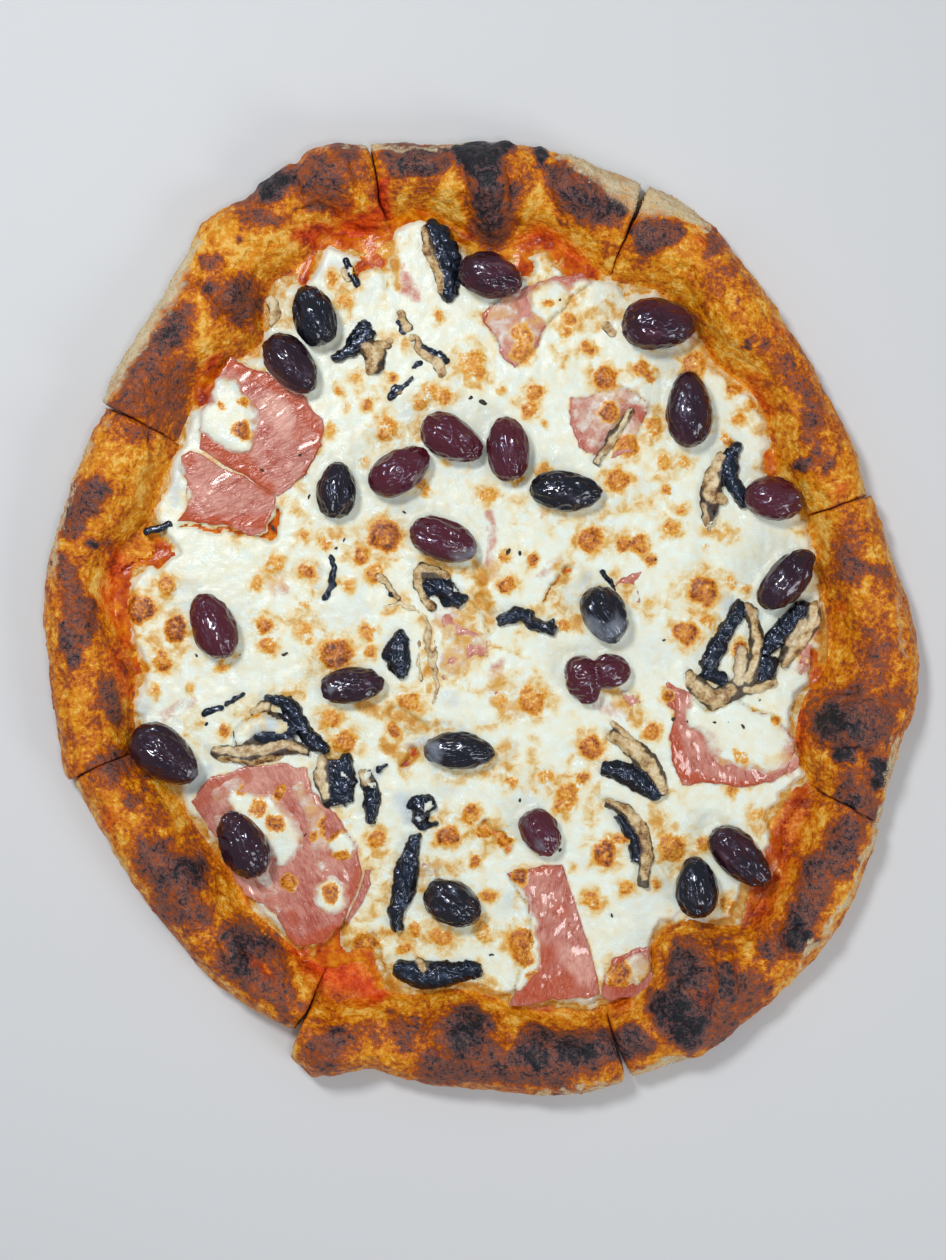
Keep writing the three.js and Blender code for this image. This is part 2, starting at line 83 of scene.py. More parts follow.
def linear(code):
    """An sRGB hex colour as linear RGBA."""
    parts = [int(code[at:at + 2], 16) / 255 for at in (1, 3, 5)]
    return [p / 12.92 if p < 0.04045 else ((p + 0.055) / 1.055) ** 2.4 for p in parts] + [1.0]


def new_material(name):
    """A new material, its node tree and its shader."""
    material = bpy.data.materials.new(name)
    material.use_nodes = True
    return material, material.node_tree, material.node_tree.nodes["Principled BSDF"]


look_x, look_y = place_of(PIXEL_IN_THE_MIDDLE)
bpy.ops.object.camera_add(location=(look_x, look_y, TOPPING_PLANE + CAMERA_RISE), rotation=(0, 0, 0))
camera = bpy.context.object
camera.name = "camera"
camera.data.sensor_width = SENSOR
camera.data.lens = SENSOR * CAMERA_RISE / (PHOTO_LENGTH * PIXEL)
bpy.context.scene.camera = camera

bpy.ops.mesh.primitive_plane_add(size=2 * FLOOR_HALF, location=(0, 0, 0))
floor = bpy.context.object
floor.name = "floor"
# Matt pale backdrop paper.
paper, _, paper_shader = new_material("matt_white_backdrop")
paper_shader.inputs["Base Color"].default_value = linear("#d9dbde")
paper_shader.inputs["Roughness"].default_value = 0.8
floor.data.materials.append(paper)

for name, place, size, watts in (
    ("overhead_softbox", (-0.3, 0.36, 0.85), 0.2, 4.6),
    ("side_softbox", (0.9, -0.7, 0.8), 0.5, 4.2),
    ("back_softbox", (0.1, -0.12, 0.9), 0.12, 1.0),
):
    bpy.ops.object.light_add(type="AREA", location=place)
    lamp = bpy.context.object
    lamp.name = name
    lamp.data.shape = "DISK"
    lamp.data.size = size
    lamp.data.energy = watts
    lamp.rotation_euler = (-Vector(place)).to_track_quat("-Z", "Y").to_euler()

world = bpy.data.worlds.new("even_light")
world.use_nodes = True
world.node_tree.nodes["Background"].inputs["Color"].default_value = (0.93, 0.97, 1.0, 1.0)
world.node_tree.nodes["Background"].inputs["Strength"].default_value = 0.3
bpy.context.scene.world = world
bpy.context.scene.view_settings.view_transform = "Standard"


# ---- The dough ---------------------------------------------------------------------------------
# Wheat dough, stretched by hand and baked very hot on stone: the rim has puffed into bubbles,
# golden where it stayed low and scorched where it rose. Eight slices, parted by four cuts.
DOUGH_VOXEL = 0.8 * MM
DOUGH_TOP = 4 * MM
CUT_CENTRE = (1.8 * MM, 5.2 * MM)
CUT_ANGLES = (15.5, 69.2, 104.7, 152.5, 202.8, 246.3, 286.6, 330.6)
CUT_HALF = 0.12 * MM               # half the width of a cut, once the dough has settled back
LATTICE_SIZE = 48
LATTICE = np.random.default_rng(11).uniform(-1, 1, (LATTICE_SIZE,) * 3)
# Scorched places on the rim, in pixels of the photograph: how far baked, from 0 for pale gold
# to 1 for black, and a row of x, y and radius along each.
SCORCHED = (
    (0.68, ((322, 182, 34),)), (0.73, ((323, 178, 19),)), (0.62, ((245, 205, 20), (285, 182, 16))),
    (0.97, ((268, 192, 15), (288, 178, 9))), (0.74, ((237, 237, 6),)), (0.72, ((240, 300, 29),)),
    (0.85, ((238, 290, 14),)), (0.78, ((206, 287, 9),)), (0.7, ((212, 262, 15),)),
    (0.68, ((180, 315, 18), (160, 350, 22), (137, 388, 24))), (0.86, ((176, 322, 10), (166, 345, 11))),
    (0.64, ((185, 370, 14), (140, 425, 22))), (0.7, ((175, 400, 16),)),
    (0.8, ((398, 158, 20), (435, 160, 15))), (0.88, ((405, 165, 9), (425, 168, 9))),
    (0.9, ((478, 150, 22), (488, 185, 20), (490, 222, 16))), (1.0, ((455, 152, 9), (505, 150, 12))),
    (1.0, ((473, 158, 15), (488, 175, 14))), (0.72, ((490, 235, 24), (505, 200, 20))),
    (1.0, ((540, 152, 9), (541, 165, 6))), (0.74, ((560, 178, 20), (590, 205, 26), (612, 215, 14))),
    (0.93, ((612, 205, 9), (620, 212, 7))), (0.86, ((572, 195, 11), (600, 210, 12))),
    (0.78, ((645, 235, 22), (675, 235, 14))), (0.86, ((640, 245, 12),)), (0.66, ((715, 245, 16),)),
    (0.62, ((730, 270, 10),)), (0.8, ((752, 345, 6),)), (0.75, ((742, 295, 4),)),
    (0.62, ((790, 370, 14), (812, 400, 16), (818, 440, 14))), (0.72, ((815, 425, 10),)),
    (0.84, ((803, 468, 9),)), (0.7, ((822, 462, 12),)), (0.62, ((845, 540, 16), (852, 565, 18))),
    (0.74, ((842, 572, 9), (862, 567, 7), (885, 572, 7))), (0.62, ((880, 645, 18), (860, 690, 14))),
    (0.74, ((850, 700, 22), (875, 720, 24))), (0.82, ((835, 722, 30), (865, 735, 18))),
    (1.0, ((832, 722, 20), (850, 728, 9))), (0.96, ((843, 755, 11),)), (0.7, ((895, 700, 14),)),
    (1.0, ((880, 768, 14), (877, 785, 6))), (0.74, ((850, 790, 20), (868, 810, 14))),
    (0.93, ((852, 800, 9),)), (0.8, ((845, 835, 20), (838, 865, 20))), (0.86, ((812, 870, 18),)),
    (0.78, ((815, 895, 20), (800, 915, 16))), (1.0, ((797, 937, 20),)), (0.76, ((770, 950, 14),)),
    (0.72, ((690, 960, 26), (700, 1010, 30))), (0.9, ((682, 960, 15), (690, 980, 14))),
    (0.98, ((668, 1005, 22), (690, 1030, 22))), (0.88, ((728, 970, 10), (730, 1000, 9))),
    (0.72, ((750, 985, 20), (720, 1035, 16))), (0.84, ((640, 1040, 18), (600, 1045, 20))),
    (0.86, ((540, 1045, 24), (575, 1050, 22))), (0.97, ((570, 1050, 12), (585, 1048, 10))),
    (0.95, ((540, 1062, 10), (520, 1050, 8))), (0.86, ((465, 1035, 34),)), (0.95, ((470, 1032, 20),)),
    (0.78, ((500, 1065, 22), (560, 1075, 16), (430, 1065, 16))), (0.7, ((405, 1030, 20),)),
    (0.7, ((330, 1045, 30),)), (0.78, ((335, 1035, 14),)), (0.66, ((370, 1035, 14),)),
    (0.84, ((235, 935, 16), (262, 945, 16))), (0.92, ((232, 938, 9), (240, 970, 14))),
    (0.72, ((225, 960, 16), (262, 985, 20))), (0.78, ((150, 855, 22), (180, 880, 30))),
    (0.9, ((188, 872, 20),)), (0.74, ((165, 905, 18), (200, 915, 14))), (0.66, ((110, 768, 24),)),
    (0.74, ((112, 765, 12),)), (0.64, ((130, 800, 12),)), (0.74, ((105, 688, 14), (112, 712, 12))),
    (0.72, ((62, 565, 10), (75, 600, 16), (85, 620, 20), (70, 655, 14))), (0.84, ((92, 605, 8),)),
    (0.84, ((68, 628, 8), (70, 665, 8))), (0.72, ((85, 495, 18), (72, 530, 14))),
    (0.78, ((100, 488, 14), (95, 505, 12))), (0.9, ((94, 545, 6),)), (0.66, ((125, 665, 8),)),
    (0.66, ((250, 212, 14), (275, 225, 9))), (0.7, ((345, 155, 18),)), (0.6, ((155, 820, 14),)),
    (0.64, ((290, 1005, 14), (280, 965, 12))), (0.66, ((190, 440, 8), (165, 395, 9))),
)
# The palest, smoothest stretches, which the oven hardly browned.
GOLDEN = (
    (0.12, ((215, 235, 16), (255, 250, 18), (285, 245, 14))), (0.12, ((195, 300, 10), (205, 350, 14))),
    (0.1, ((350, 180, 6), (360, 205, 10))), (0.1, ((455, 185, 16), (445, 205, 18), (470, 225, 9))),
    (0.14, ((530, 205, 10), (560, 235, 14), (585, 245, 12))), (0.2, ((660, 275, 14), (690, 290, 14))),
    (0.14, ((725, 320, 20), (735, 350, 16))), (0.2, ((790, 425, 14),)), (0.2, ((840, 490, 10),)),
    (0.18, ((835, 650, 16), (815, 640, 9))), (0.15, ((810, 740, 9), (808, 775, 8))),
    (0.12, ((820, 820, 12), (800, 830, 8))), (0.1, ((690, 935, 12), (665, 950, 7))),
    (0.14, ((745, 950, 12),)), (0.12, ((520, 1015, 12), (580, 1022, 9))), (0.16, ((370, 1020, 6),)),
    (0.14, ((290, 960, 9),)), (0.14, ((220, 905, 10), (250, 895, 9))),
    (0.12, ((175, 820, 14), (160, 780, 10))), (0.0, ((612, 262, 7),)),
    (0.02, ((282, 1032, 7), (292, 1052, 7))), (0.06, ((624, 1035, 5), (620, 1058, 6))),
    (0.08, ((300, 1000, 5), (315, 975, 5))), (0.1, ((410, 175, 5), (402, 205, 6))),
    (0.12, ((235, 320, 6),)), (0.1, ((540, 190, 6), (520, 215, 6))), (0.12, ((700, 260, 10),)),
    (0.1, ((765, 370, 8), (752, 360, 6))), (0.14, ((862, 600, 9), (872, 560, 8))),
    (0.1, ((455, 1000, 7), (500, 1006, 8))), (0.1, ((190, 330, 6),)),
    (0.2, ((60, 600, 6), (55, 640, 6))), (0.14, ((150, 460, 14), (130, 445, 12))),
    (0.18, ((80, 690, 12), (75, 720, 12))), (0.16, ((115, 455, 9),)), (0.15, ((170, 495, 8),)),
    (0.16, ((300, 220, 10), (345, 225, 8))), (0.16, ((335, 970, 22), (375, 985, 16))),
    (0.1, ((105, 590, 6), (108, 620, 6))),
)
# Raw flour on the outer edge, which was turned away from the heat.
FLOURED = (
    (1.0, ((100, 400, 9), (128, 352, 12), (158, 305, 11), (180, 270, 7), (196, 240, 4))),
    (1.0, ((560, 152, 4), (600, 172, 11), (640, 195, 19), (680, 208, 9), (710, 228, 3))),
    (0.8, ((345, 146, 2), (430, 151, 3), (470, 144, 3))),
    (0.7, ((88, 440, 4), (66, 505, 4), (48, 575, 3))), (0.4, ((108, 425, 7),)),
    (0.9, ((897, 740, 4), (888, 790, 5), (870, 845, 3), (845, 905, 3), (800, 968, 3))),
    (0.8, ((690, 1057, 3), (640, 1075, 5), (600, 1088, 3), (540, 1094, 3))),
    (0.4, ((868, 497, 4),)), (0.4, ((882, 822, 4),)), (0.3, ((895, 560, 3), (905, 660, 3))),
)
# Sauce that has boiled up onto the rim.
STAINED = (
    (1.0, ((300, 238, 12), (335, 240, 14), (380, 215, 12), (388, 180, 5))), (0.7, ((345, 215, 14),)),
    (0.9, ((215, 360, 10), (205, 385, 12))), (0.9, ((526, 250, 12), (545, 235, 14), (575, 262, 14))),
    (0.7, ((465, 235, 8),)), (0.8, ((118, 560, 14), (112, 600, 12), (125, 640, 10))),
    (0.7, ((120, 660, 14), (128, 690, 8))), (0.7, ((785, 810, 24), (775, 860, 20), (760, 910, 18))),
    (0.7, ((840, 490, 7),)), (0.6, ((842, 610, 8),)),
    (1.0, ((300, 945, 16), (340, 975, 24), (375, 992, 14))), (0.6, ((240, 955, 6), (270, 970, 9))),
    (0.6, ((705, 1000, 9),)), (0.5, ((700, 235, 9),)), (0.5, ((780, 330, 9),)),
    (0.5, ((110, 820, 12),)), (0.4, ((75, 770, 7),)), (0.5, ((755, 385, 14), (770, 410, 9))),
    (0.6, ((800, 745, 9), (800, 710, 8))), (0.4, ((95, 600, 7),)), (0.4, ((60, 760, 6),)),
    (0.6, ((620, 1002, 12),)),
)
# Creases between the bubbles, pressed into the dough and darkened there by painted shade.
CREASES = (
    ((300, 212, 3), (318, 206, 4), (336, 216, 3)), ((256, 274, 3), (264, 290, 4), (268, 314, 3)),
    ((118, 655, 3), (132, 668, 3)), ((812, 700, 3), (832, 690, 3), (856, 690, 3)),
    ((735, 950, 3), (742, 990, 3)), ((518, 222, 3), (516, 252, 3)), ((152, 460, 3), (150, 430, 2)),
    ((300, 150, 2), (292, 172, 3), (300, 200, 3)), ((350, 160, 2), (358, 185, 3), (352, 206, 3)),
    ((196, 280, 3), (222, 318, 3), (250, 328, 3)), ((462, 165, 3), (464, 205, 4), (478, 240, 3)),
    ((510, 170, 3), (514, 200, 3)), ((812, 742, 3), (832, 752, 3), (858, 750, 3)),
    ((776, 925, 3), (778, 948, 3), (800, 962, 3)), ((868, 752, 3), (866, 778, 3), (880, 790, 2)),
    ((655, 930, 3), (664, 975, 3)), ((716, 935, 3), (722, 985, 4), (712, 1015, 3)),
    ((430, 1005, 3), (424, 1035, 3), (436, 1060, 3)), ((500, 1012, 3), (508, 1040, 3)),
    ((215, 945, 3), (222, 968, 3)), ((560, 165, 3), (548, 190, 3), (556, 212, 3)),
)


def smooth(low, high, values):
    """0 below low, 1 above high, and a smooth rise between."""
    part = np.clip((values - low) / (high - low), 0, 1)
    return part * part * (3 - 2 * part)


def lumps(points, size, octaves=1, seed=0):
    """Smooth random values of about -1 to 1 at the points, with lumps of this size. The seed tells
    one pattern from another."""
    total = np.zeros(len(points))
    for octave in range(octaves):
        cell = points * (2 ** octave / size) + 5.3 * octave + 17.1 * seed
        low = np.floor(cell).astype(int)
        part = cell - low
        part = part * part * (3 - 2 * part)
        for corner in itertools.product((0, 1), repeat=3):
            share = np.prod(np.where(corner, part, 1 - part), axis=1)
            x, y, z = ((low + corner) % LATTICE_SIZE).T
            total += share * LATTICE[x, y, z] / 2 ** octave
    return total


def seen(points):
    """The pixels of the photograph at which the camera sees the points."""
    shrink = CAMERA_RISE / (CAMERA_RISE - (points[:, 2] - TOPPING_PLANE))
    x = look_x + (points[:, 0] - look_x) * shrink
    y = look_y + (points[:, 1] - look_y) * shrink
    return np.stack([x / PIXEL + PIXEL_OVER_ORIGIN[0], PIXEL_OVER_ORIGIN[1] - y / PIXEL], 1)


def depth_in(pixels, path):
    """How deep the pixels lie in a stroke along rows of x, y and radius: 1 on its line, 0 at its
    edge, and down to -1 outside."""
    rows = np.array(path, float)
    reach = 2 * rows[:, 2].max()
    low = rows[:, :2].min(0) - reach
    high = rows[:, :2].max(0) + reach
    close = np.nonzero(np.all((pixels > low) & (pixels < high), axis=1))[0]
    inside = pixels[close]
    best = np.full(len(close), -1.0)
    for start, end in zip(rows, rows[1:] if len(rows) > 1 else rows):
        along = end[:2] - start[:2]
        length = along @ along
        part = np.clip((inside - start[:2]) @ along / length, 0, 1) if length else 0 * best
        away = np.hypot(*(inside - start[:2] - part[:, None] * along).T)
        best = np.maximum(best, 1 - away / (start[2] + part * (end[2] - start[2])))
    depth = np.full(len(pixels), -1.0)
    depth[close] = best
    return depth


def points_of(piece):
    """The vertices of a piece and their normals, as two arrays."""
    count = len(piece.data.vertices)
    found = []
    for what in ("co", "normal"):
        values = np.empty(count * 3, np.float32)
        piece.data.vertices.foreach_get(what, values)
        found.append(values.reshape(-1, 3).astype(float))
    return found


def move_points(piece, points):
    """Moves the vertices of a piece to these points."""
    piece.data.vertices.foreach_set("co", points.astype(np.float32).ravel())
    piece.data.update()


def paint(piece, name, values):
    """Stores one value or one place for each vertex, for the material to read."""
    kind, field = ("FLOAT", "value") if values.ndim == 1 else ("FLOAT_VECTOR", "vector")
    layer = piece.data.attributes.new(name, kind, "POINT")
    layer.data.foreach_set(field, values.astype(np.float32).ravel())


def brush(pixels, strokes, low, high, start=0.0):
    """What the strokes leave at the pixels, over what was there at the start. Each stroke is a
    level and a row of x, y and radius, and fades out between these two depths."""
    found = start
    for level, path in strokes:
        found = np.maximum(found, level * smooth(low, high, depth_in(pixels, path)))
    return found


def stray(pixels, points, reach, size, octaves, seed):
    """The pixels, led astray by up to this many, so that strokes painted by them look torn."""
    return pixels + reach * np.stack([lumps(points, size, octaves, seed + at) for at in (0, 1)], 1)


def new_piece(name, mesh=None):
    """A new piece with this mesh or an empty one, selected alone."""
    bpy.ops.object.select_all(action="DESELECT")
    piece = bpy.data.objects.new(name, mesh or bpy.data.meshes.new(name))
    bpy.context.scene.collection.objects.link(piece)
    bpy.context.view_layer.objects.active = piece
    piece.select_set(True)
    return piece


def copy_of(node, name):
    """A new piece with a copy of a CAD node's mesh, merged, and selected alone."""
    piece = new_piece(name, nodes[node].data.copy())
    piece.data.materials.clear()
    bpy.ops.object.mode_set(mode="EDIT")
    bpy.ops.mesh.select_all(action="SELECT")
    bpy.ops.mesh.remove_doubles(threshold=0.01 * MM)
    bpy.ops.object.mode_set(mode="OBJECT")
    return piece


def apply_modifier(piece, kind, **settings):
    """Adds a modifier with these settings and applies it."""
    modifier = piece.modifiers.new(kind.lower(), kind)
    for name, value in settings.items():
        setattr(modifier, name, value)
    bpy.context.view_layer.objects.active = piece
    bpy.ops.object.modifier_apply(modifier=modifier.name)


def from_cuts(points):
    """How far the points are from the nearest of the cuts."""
    x = points[:, 0] - CUT_CENTRE[0]
    y = points[:, 1] - CUT_CENTRE[1]
    nearest = np.full(len(points), 1.0)
    for angle in np.radians(CUT_ANGLES):
        ahead = x * np.cos(angle) + y * np.sin(angle)
        aside = np.abs(y * np.cos(angle) - x * np.sin(angle))
        nearest = np.minimum(nearest, np.where(ahead > 0, aside, np.hypot(x, y)))
    return nearest


def close_cuts(points, most, reach):
    """Draws what lies within reach of a cut up to it, by no more than the most, so that the cut is
    a fine, wavering crease."""
    for number, angle in enumerate(np.radians(CUT_ANGLES)):
        x = points[:, 0] - CUT_CENTRE[0]
        y = points[:, 1] - CUT_CENTRE[1]
        ahead = x * np.cos(angle) + y * np.sin(angle)
        aside = y * np.cos(angle) - x * np.sin(angle)
        near = np.nonzero((ahead > 20 * MM) & (np.abs(aside) < 8 * MM))[0]
        ahead = ahead[near]
        aside = aside[near]
        far = np.abs(aside)
        low = smooth(6 * MM, 1 * MM, points[near, 2])
        limit = (most + 0.9 * MM * low) * smooth(reach + 2 * MM * low, 0.6 * MM, far)
        pull = np.clip(far - CUT_HALF, 0, limit)
        along = np.stack([ahead, 0 * ahead + 0.1 * number, 0 * ahead], 1)
        waver = 0.8 * MM * lumps(along, 8 * MM, 2, 30) * smooth(8 * MM, 1 * MM, far)
        step = (waver - np.sign(aside) * pull) * smooth(20 * MM, 26 * MM, ahead)
        points[near, 0] -= step * np.sin(angle)
        points[near, 1] += step * np.cos(angle)


def add_node(tree, kind, *inputs, output=None, **named):
    """Adds a shader node, and gives its first output or the one of this name. The inputs are values,
    hex colours or outputs of other nodes, in the order of the sockets that the settings leave open.
    A name with a capital is a socket, and any other a setting."""
    node = tree.nodes.new("ShaderNode" + kind)
    links = [(node.inputs[name], value) for name, value in named.items() if name[0].isupper()]
    for name, value in named.items():
        if name[0].islower():
            setattr(node, name, value)
    for socket, value in [*zip((slot for slot in node.inputs if slot.enabled), inputs), *links]:
        if isinstance(value, bpy.types.NodeSocket):
            tree.links.new(value, socket)
        else:
            socket.default_value = linear(value) if isinstance(value, str) else value
    return next(slot for slot in node.outputs if slot.enabled and output in (None, slot.name))


def shade_stops(colour, stops):
    """Gives the colour ramp behind this output its stops: rows of position and hex colour."""
    elements = colour.node.color_ramp.elements
    for number, (at, code) in enumerate(stops):
        if number > 1:
            elements.new(at)
        elements[number].position = at
        elements[number].color = linear(code)


def baked_dough():
    """Baked dough, dry with a trace of oil: the eye sees gold mottled with rusty brown and fine
    dark lines, grey-mauve where it scorched, and blue-black where it burned."""
    material, tree, shader = new_material("baked_wheat_dough")
    place = add_node(tree, "TexCoord", output="Object")
    # The first of these holds how far the dough browned, with painted shade added in the creases and along
    # the cuts.
    bake_and_shade, flour, stain = (
        add_node(tree, "Attribute", output="Fac", attribute_name=name)
        for name in ("bake_and_shade", "flour", "stain")
    )
    grain = add_node(tree, "TexNoise", Vector=place, Scale=1 / (1.5 * MM), Detail=2.5, Roughness=0.65)
    mottle = add_node(tree, "TexNoise", Vector=place, Scale=1 / (5.0 * MM), Detail=4.0, Roughness=0.65)
    curl = add_node(tree, "TexNoise", Vector=place, Scale=1 / (2.8 * MM), Detail=2.0, Roughness=0.6,
                    Distortion=0.8)
    # Fine dark lines run where this noise is near its middle value.
    off_middle = add_node(tree, "Math", curl, 0.5, operation="SUBTRACT")
    off_line = add_node(tree, "Math", off_middle, operation="ABSOLUTE")
    line = add_node(tree, "MapRange", off_line, 0.0, 0.045, 1.0, 0.0)
    both = add_node(tree, "Math", grain, mottle, operation="ADD")
    speck = add_node(tree, "Math", both, 1.0, operation="SUBTRACT")
    # Half-baked dough is the most speckled.
    off_half = add_node(tree, "Math", bake_and_shade, 0.42, operation="SUBTRACT")
    even = add_node(tree, "Math", off_half, operation="ABSOLUTE")
    swing = add_node(tree, "MapRange", even, 0.08, 0.36, 1.3, 0.6)
    speckled = add_node(tree, "Math", speck, swing, bake_and_shade, operation="MULTIPLY_ADD")
    darkness = add_node(tree, "MapRange", speckled, 0.1, 0.5, 0.04, 0.2)
    lined = add_node(tree, "Math", line, darkness, operation="MULTIPLY")
    gold = add_node(tree, "ValToRGB", add_node(tree, "Math", speckled, lined, operation="ADD"))
    shade_stops(gold, (
        (0.0, "#f3bf5c"), (0.12, "#e69812"), (0.28, "#d67c04"), (0.42, "#c46404"), (0.55, "#a44a0c"),
        (0.66, "#954a26"), (0.78, "#7c4a3c"), (0.88, "#583e40"), (1.0, "#1b1b22"),
    ))
    stained = add_node(tree, "Mix", stain, gold, "#f88c48", data_type="RGBA", blend_type="MULTIPLY")
    clumping = add_node(tree, "MapRange", flour, 0.0, 0.4, 0.0, 1.8)
    clumped = add_node(tree, "Math", speck, clumping, flour, operation="MULTIPLY_ADD")
    dust = add_node(tree, "MapRange", clumped, 0.1, 1.0)
    powdered = add_node(tree, "Mix", dust, stained, "#d8c8a4", data_type="RGBA")
    pitted = add_node(tree, "Math", grain, 0.7, mottle, operation="MULTIPLY_ADD")
    relief = add_node(tree, "Math", pitted, curl, operation="ADD")
    bump = add_node(tree, "Bump", Height=relief, Strength=0.9, Distance=1.0 * MM)
    oiled = add_node(tree, "MapRange", mottle, 0.38, 0.62, 0.3, 0.55)
    dry = add_node(tree, "Math", dust, 0.5, oiled, operation="MULTIPLY_ADD")
    tree.links.new(powdered, shader.inputs["Base Color"])
    tree.links.new(dry, shader.inputs["Roughness"])
    tree.links.new(bump, shader.inputs["Normal"])
    shader.inputs["Specular IOR Level"].default_value = 0.3
    return material


crust_material = baked_dough()
crusts = []
for number in range(1, 9):
    crust = copy_of(f"dough_slice_{number}", f"crust_{number}")
    apply_modifier(crust, "REMESH", mode="VOXEL", voxel_size=DOUGH_VOXEL)
    apply_modifier(crust, "SMOOTH", factor=0.5, iterations=8)
    points, normals = points_of(crust)
    pixels = seen(points)
    on_rim = smooth(DOUGH_TOP + 0.5 * MM, 9 * MM, points[:, 2])
    off_floor = smooth(0.4 * MM, 3 * MM, points[:, 2])
    off_cut = smooth(0.6 * MM, 3 * MM, from_cuts(points))
    headroom = smooth(cad_box[1][2], cad_box[1][2] - 2.4 * MM, points[:, 2])
    dome = np.zeros(len(points))
    for level, path in SCORCHED:
        size = min(max(row[2] for row in path), 20) / 20
        dome = np.maximum(dome, size * smooth(-0.2, 0.9, depth_in(pixels, path)) * smooth(0.7, 0.9, level))
    pinch = np.zeros(len(points))
    for path in CREASES:
        pinch = np.maximum(pinch, smooth(-1.0, 1.0, depth_in(pixels, path)))
    fold = 1 - 2 * np.abs(lumps(points, 3.6 * MM, 2, 31))
    puff = 0.8 * lumps(points, 15 * MM, 2) + 0.45 * lumps(points, 4 * MM, 2, 1)
    puff += 0.22 * lumps(points, 1.7 * MM, 1, 2)
    puff += 0.4 * fold * smooth(-0.3, 0.5, lumps(points, 12 * MM, 1, 32))
    swell = (puff + 1.5 * dome * headroom - 1.5 * pinch) * MM * on_rim * off_floor * off_cut
    moved = points + normals * swell[:, None]
    underside = points[:, 2] < 0.35 * MM
    moved[underside, 2] = points[underside, 2]
    close_cuts(moved, 0.55 * MM, 2.4 * MM)
    move_points(crust, np.clip(moved, np.array(cad_box[0]), np.array(cad_box[1])))
    bpy.ops.object.shade_smooth()

    ragged = stray(stray(pixels, points, 5.0, 6 * MM, 2, 3), points, 3.0, 2 * MM, 2, 33)
    bake_and_shade = 0.3 + 0.16 * lumps(points, 20 * MM, 2, 5) + 0.15 * lumps(points, 6 * MM, 3, 6)
    bake_and_shade += 0.1 * smooth(13 * MM, 21 * MM, points[:, 2]) - 0.04
    for level, path in GOLDEN:
        bake_and_shade += (level - bake_and_shade) * smooth(-0.3, 0.6, depth_in(ragged, path))
    for level, path in SCORCHED:
        bake_and_shade += np.maximum(level - bake_and_shade, 0) * smooth(-0.35, 0.6, depth_in(ragged, path))
    furrow = 1 - 2 * np.abs(lumps(points, 2.4 * MM, 1, 54))
    # Painted shade: darker in the creases between the bubbles. Painted light: lighter on the crests of the
    # folds.
    bake_and_shade += (0.3 * pinch - 0.12 * fold - 0.1 * (furrow - 0.4)) * (1 - bake_and_shade) * on_rim
    # Painted shade: darker in the crease along each cut, up on the rim.
    bake_and_shade += np.maximum(0.66 - bake_and_shade, 0) * smooth(1.5 * MM, 0.3 * MM, from_cuts(points)) * on_rim
    spots = smooth(0.1, 0.8, lumps(points, 9 * MM, 2, 7))
    facing_down = smooth(-0.3, -0.8, normals[:, 2])
    bake_and_shade += (0.14 + 0.42 * spots - bake_and_shade) * facing_down * smooth(6 * MM, 1 * MM, points[:, 2])
    flour = (0.58 - 0.35 * spots + 0.1 * lumps(points, 5 * MM, 2, 62)) * facing_down
    paint(crust, "bake_and_shade", bake_and_shade)
    paint(crust, "flour", brush(ragged, FLOURED, -0.6, 0.9, flour))
    paint(crust, "stain", brush(ragged, STAINED, -0.5, 0.8) * (1 - facing_down))
    crust.data.materials.append(crust_material)
    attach(crust, "root")
    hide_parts(f"dough_slice_{number}")
    crusts.append(crust)


# ---- The sauce ---------------------------------------------------------------------------------
# Crushed tomato with a little oil, spread thin on the raw dough and boiled down in the oven. It
# shows round the edge of the cheese and in a few pools, deep red where it is thickest.
SAUCE_CELL = 1.2 * MM
SAUCE_FILM = 0.45                  # its depth in millimetres
SAUCE_TOP = 5 * MM
CHEESE_SPOKES = 76                 # rays from the middle, along which the cheese's edge is found
SHEET_SPAN = 292 * MM              # sauce and cheese are cut out of squares this wide
SHEET_MIDDLE = (CUT_CENTRE[0] - 2 * MM, CUT_CENTRE[1] - 5 * MM, 0)
ABOVE_ALL = 50 * MM                # a height over all of the pizza, from which rays are cast down
# Pools of bare sauce, in pixels of the photograph: how bare, and a row of x, y and radius.
POOLS = (
    (1.0, ((108, 542, 9), (122, 556, 10), (120, 585, 8), (119, 610, 8), (124, 632, 7))),
    (1.0, ((135, 548, 13), (158, 556, 13))), (0.7, ((122, 652, 6), (137, 668, 5))),
    (1.0, ((300, 243, 8), (335, 236, 11), (385, 232, 10))), (1.0, ((309, 258, 5), (304, 280, 5))),
    (0.9, ((375, 258, 10), (358, 268, 7))), (0.7, ((388, 285, 3), (384, 250, 6))),
    (1.0, ((214, 352, 8), (207, 378, 8), (202, 400, 6))), (0.9, ((180, 524, 2), (262, 534, 4))),
    (1.0, ((276, 512, 4), (268, 534, 8))), (1.0, ((518, 252, 7), (540, 236, 8), (558, 252, 6))),
    (1.0, ((526, 268, 10),)), (1.0, ((575, 264, 10), (594, 272, 6))), (0.8, ((565, 282, 7),)),
    (1.0, ((802, 800, 9), (790, 832, 13), (778, 862, 14), (764, 892, 12), (752, 916, 7))),
    (1.0, ((336, 926, 9), (330, 948, 14))), (0.8, ((305, 950, 5), (310, 975, 5))),
    (0.55, ((478, 600, 5), (488, 614, 8), (492, 630, 4))), (0.5, ((473, 560, 4), (482, 580, 5))),
    (0.9, ((567, 572, 5),)), (0.8, ((545, 602, 2), (560, 578, 2))),
    (0.8, ((485, 824, 4), (500, 838, 5), (508, 850, 5))), (0.8, ((770, 470, 8), (768, 455, 7))),
    (0.8, ((812, 655, 6), (815, 680, 6))), (0.8, ((415, 752, 5), (405, 765, 4))),
    (0.6, ((395, 715, 7), (420, 728, 7))),
)


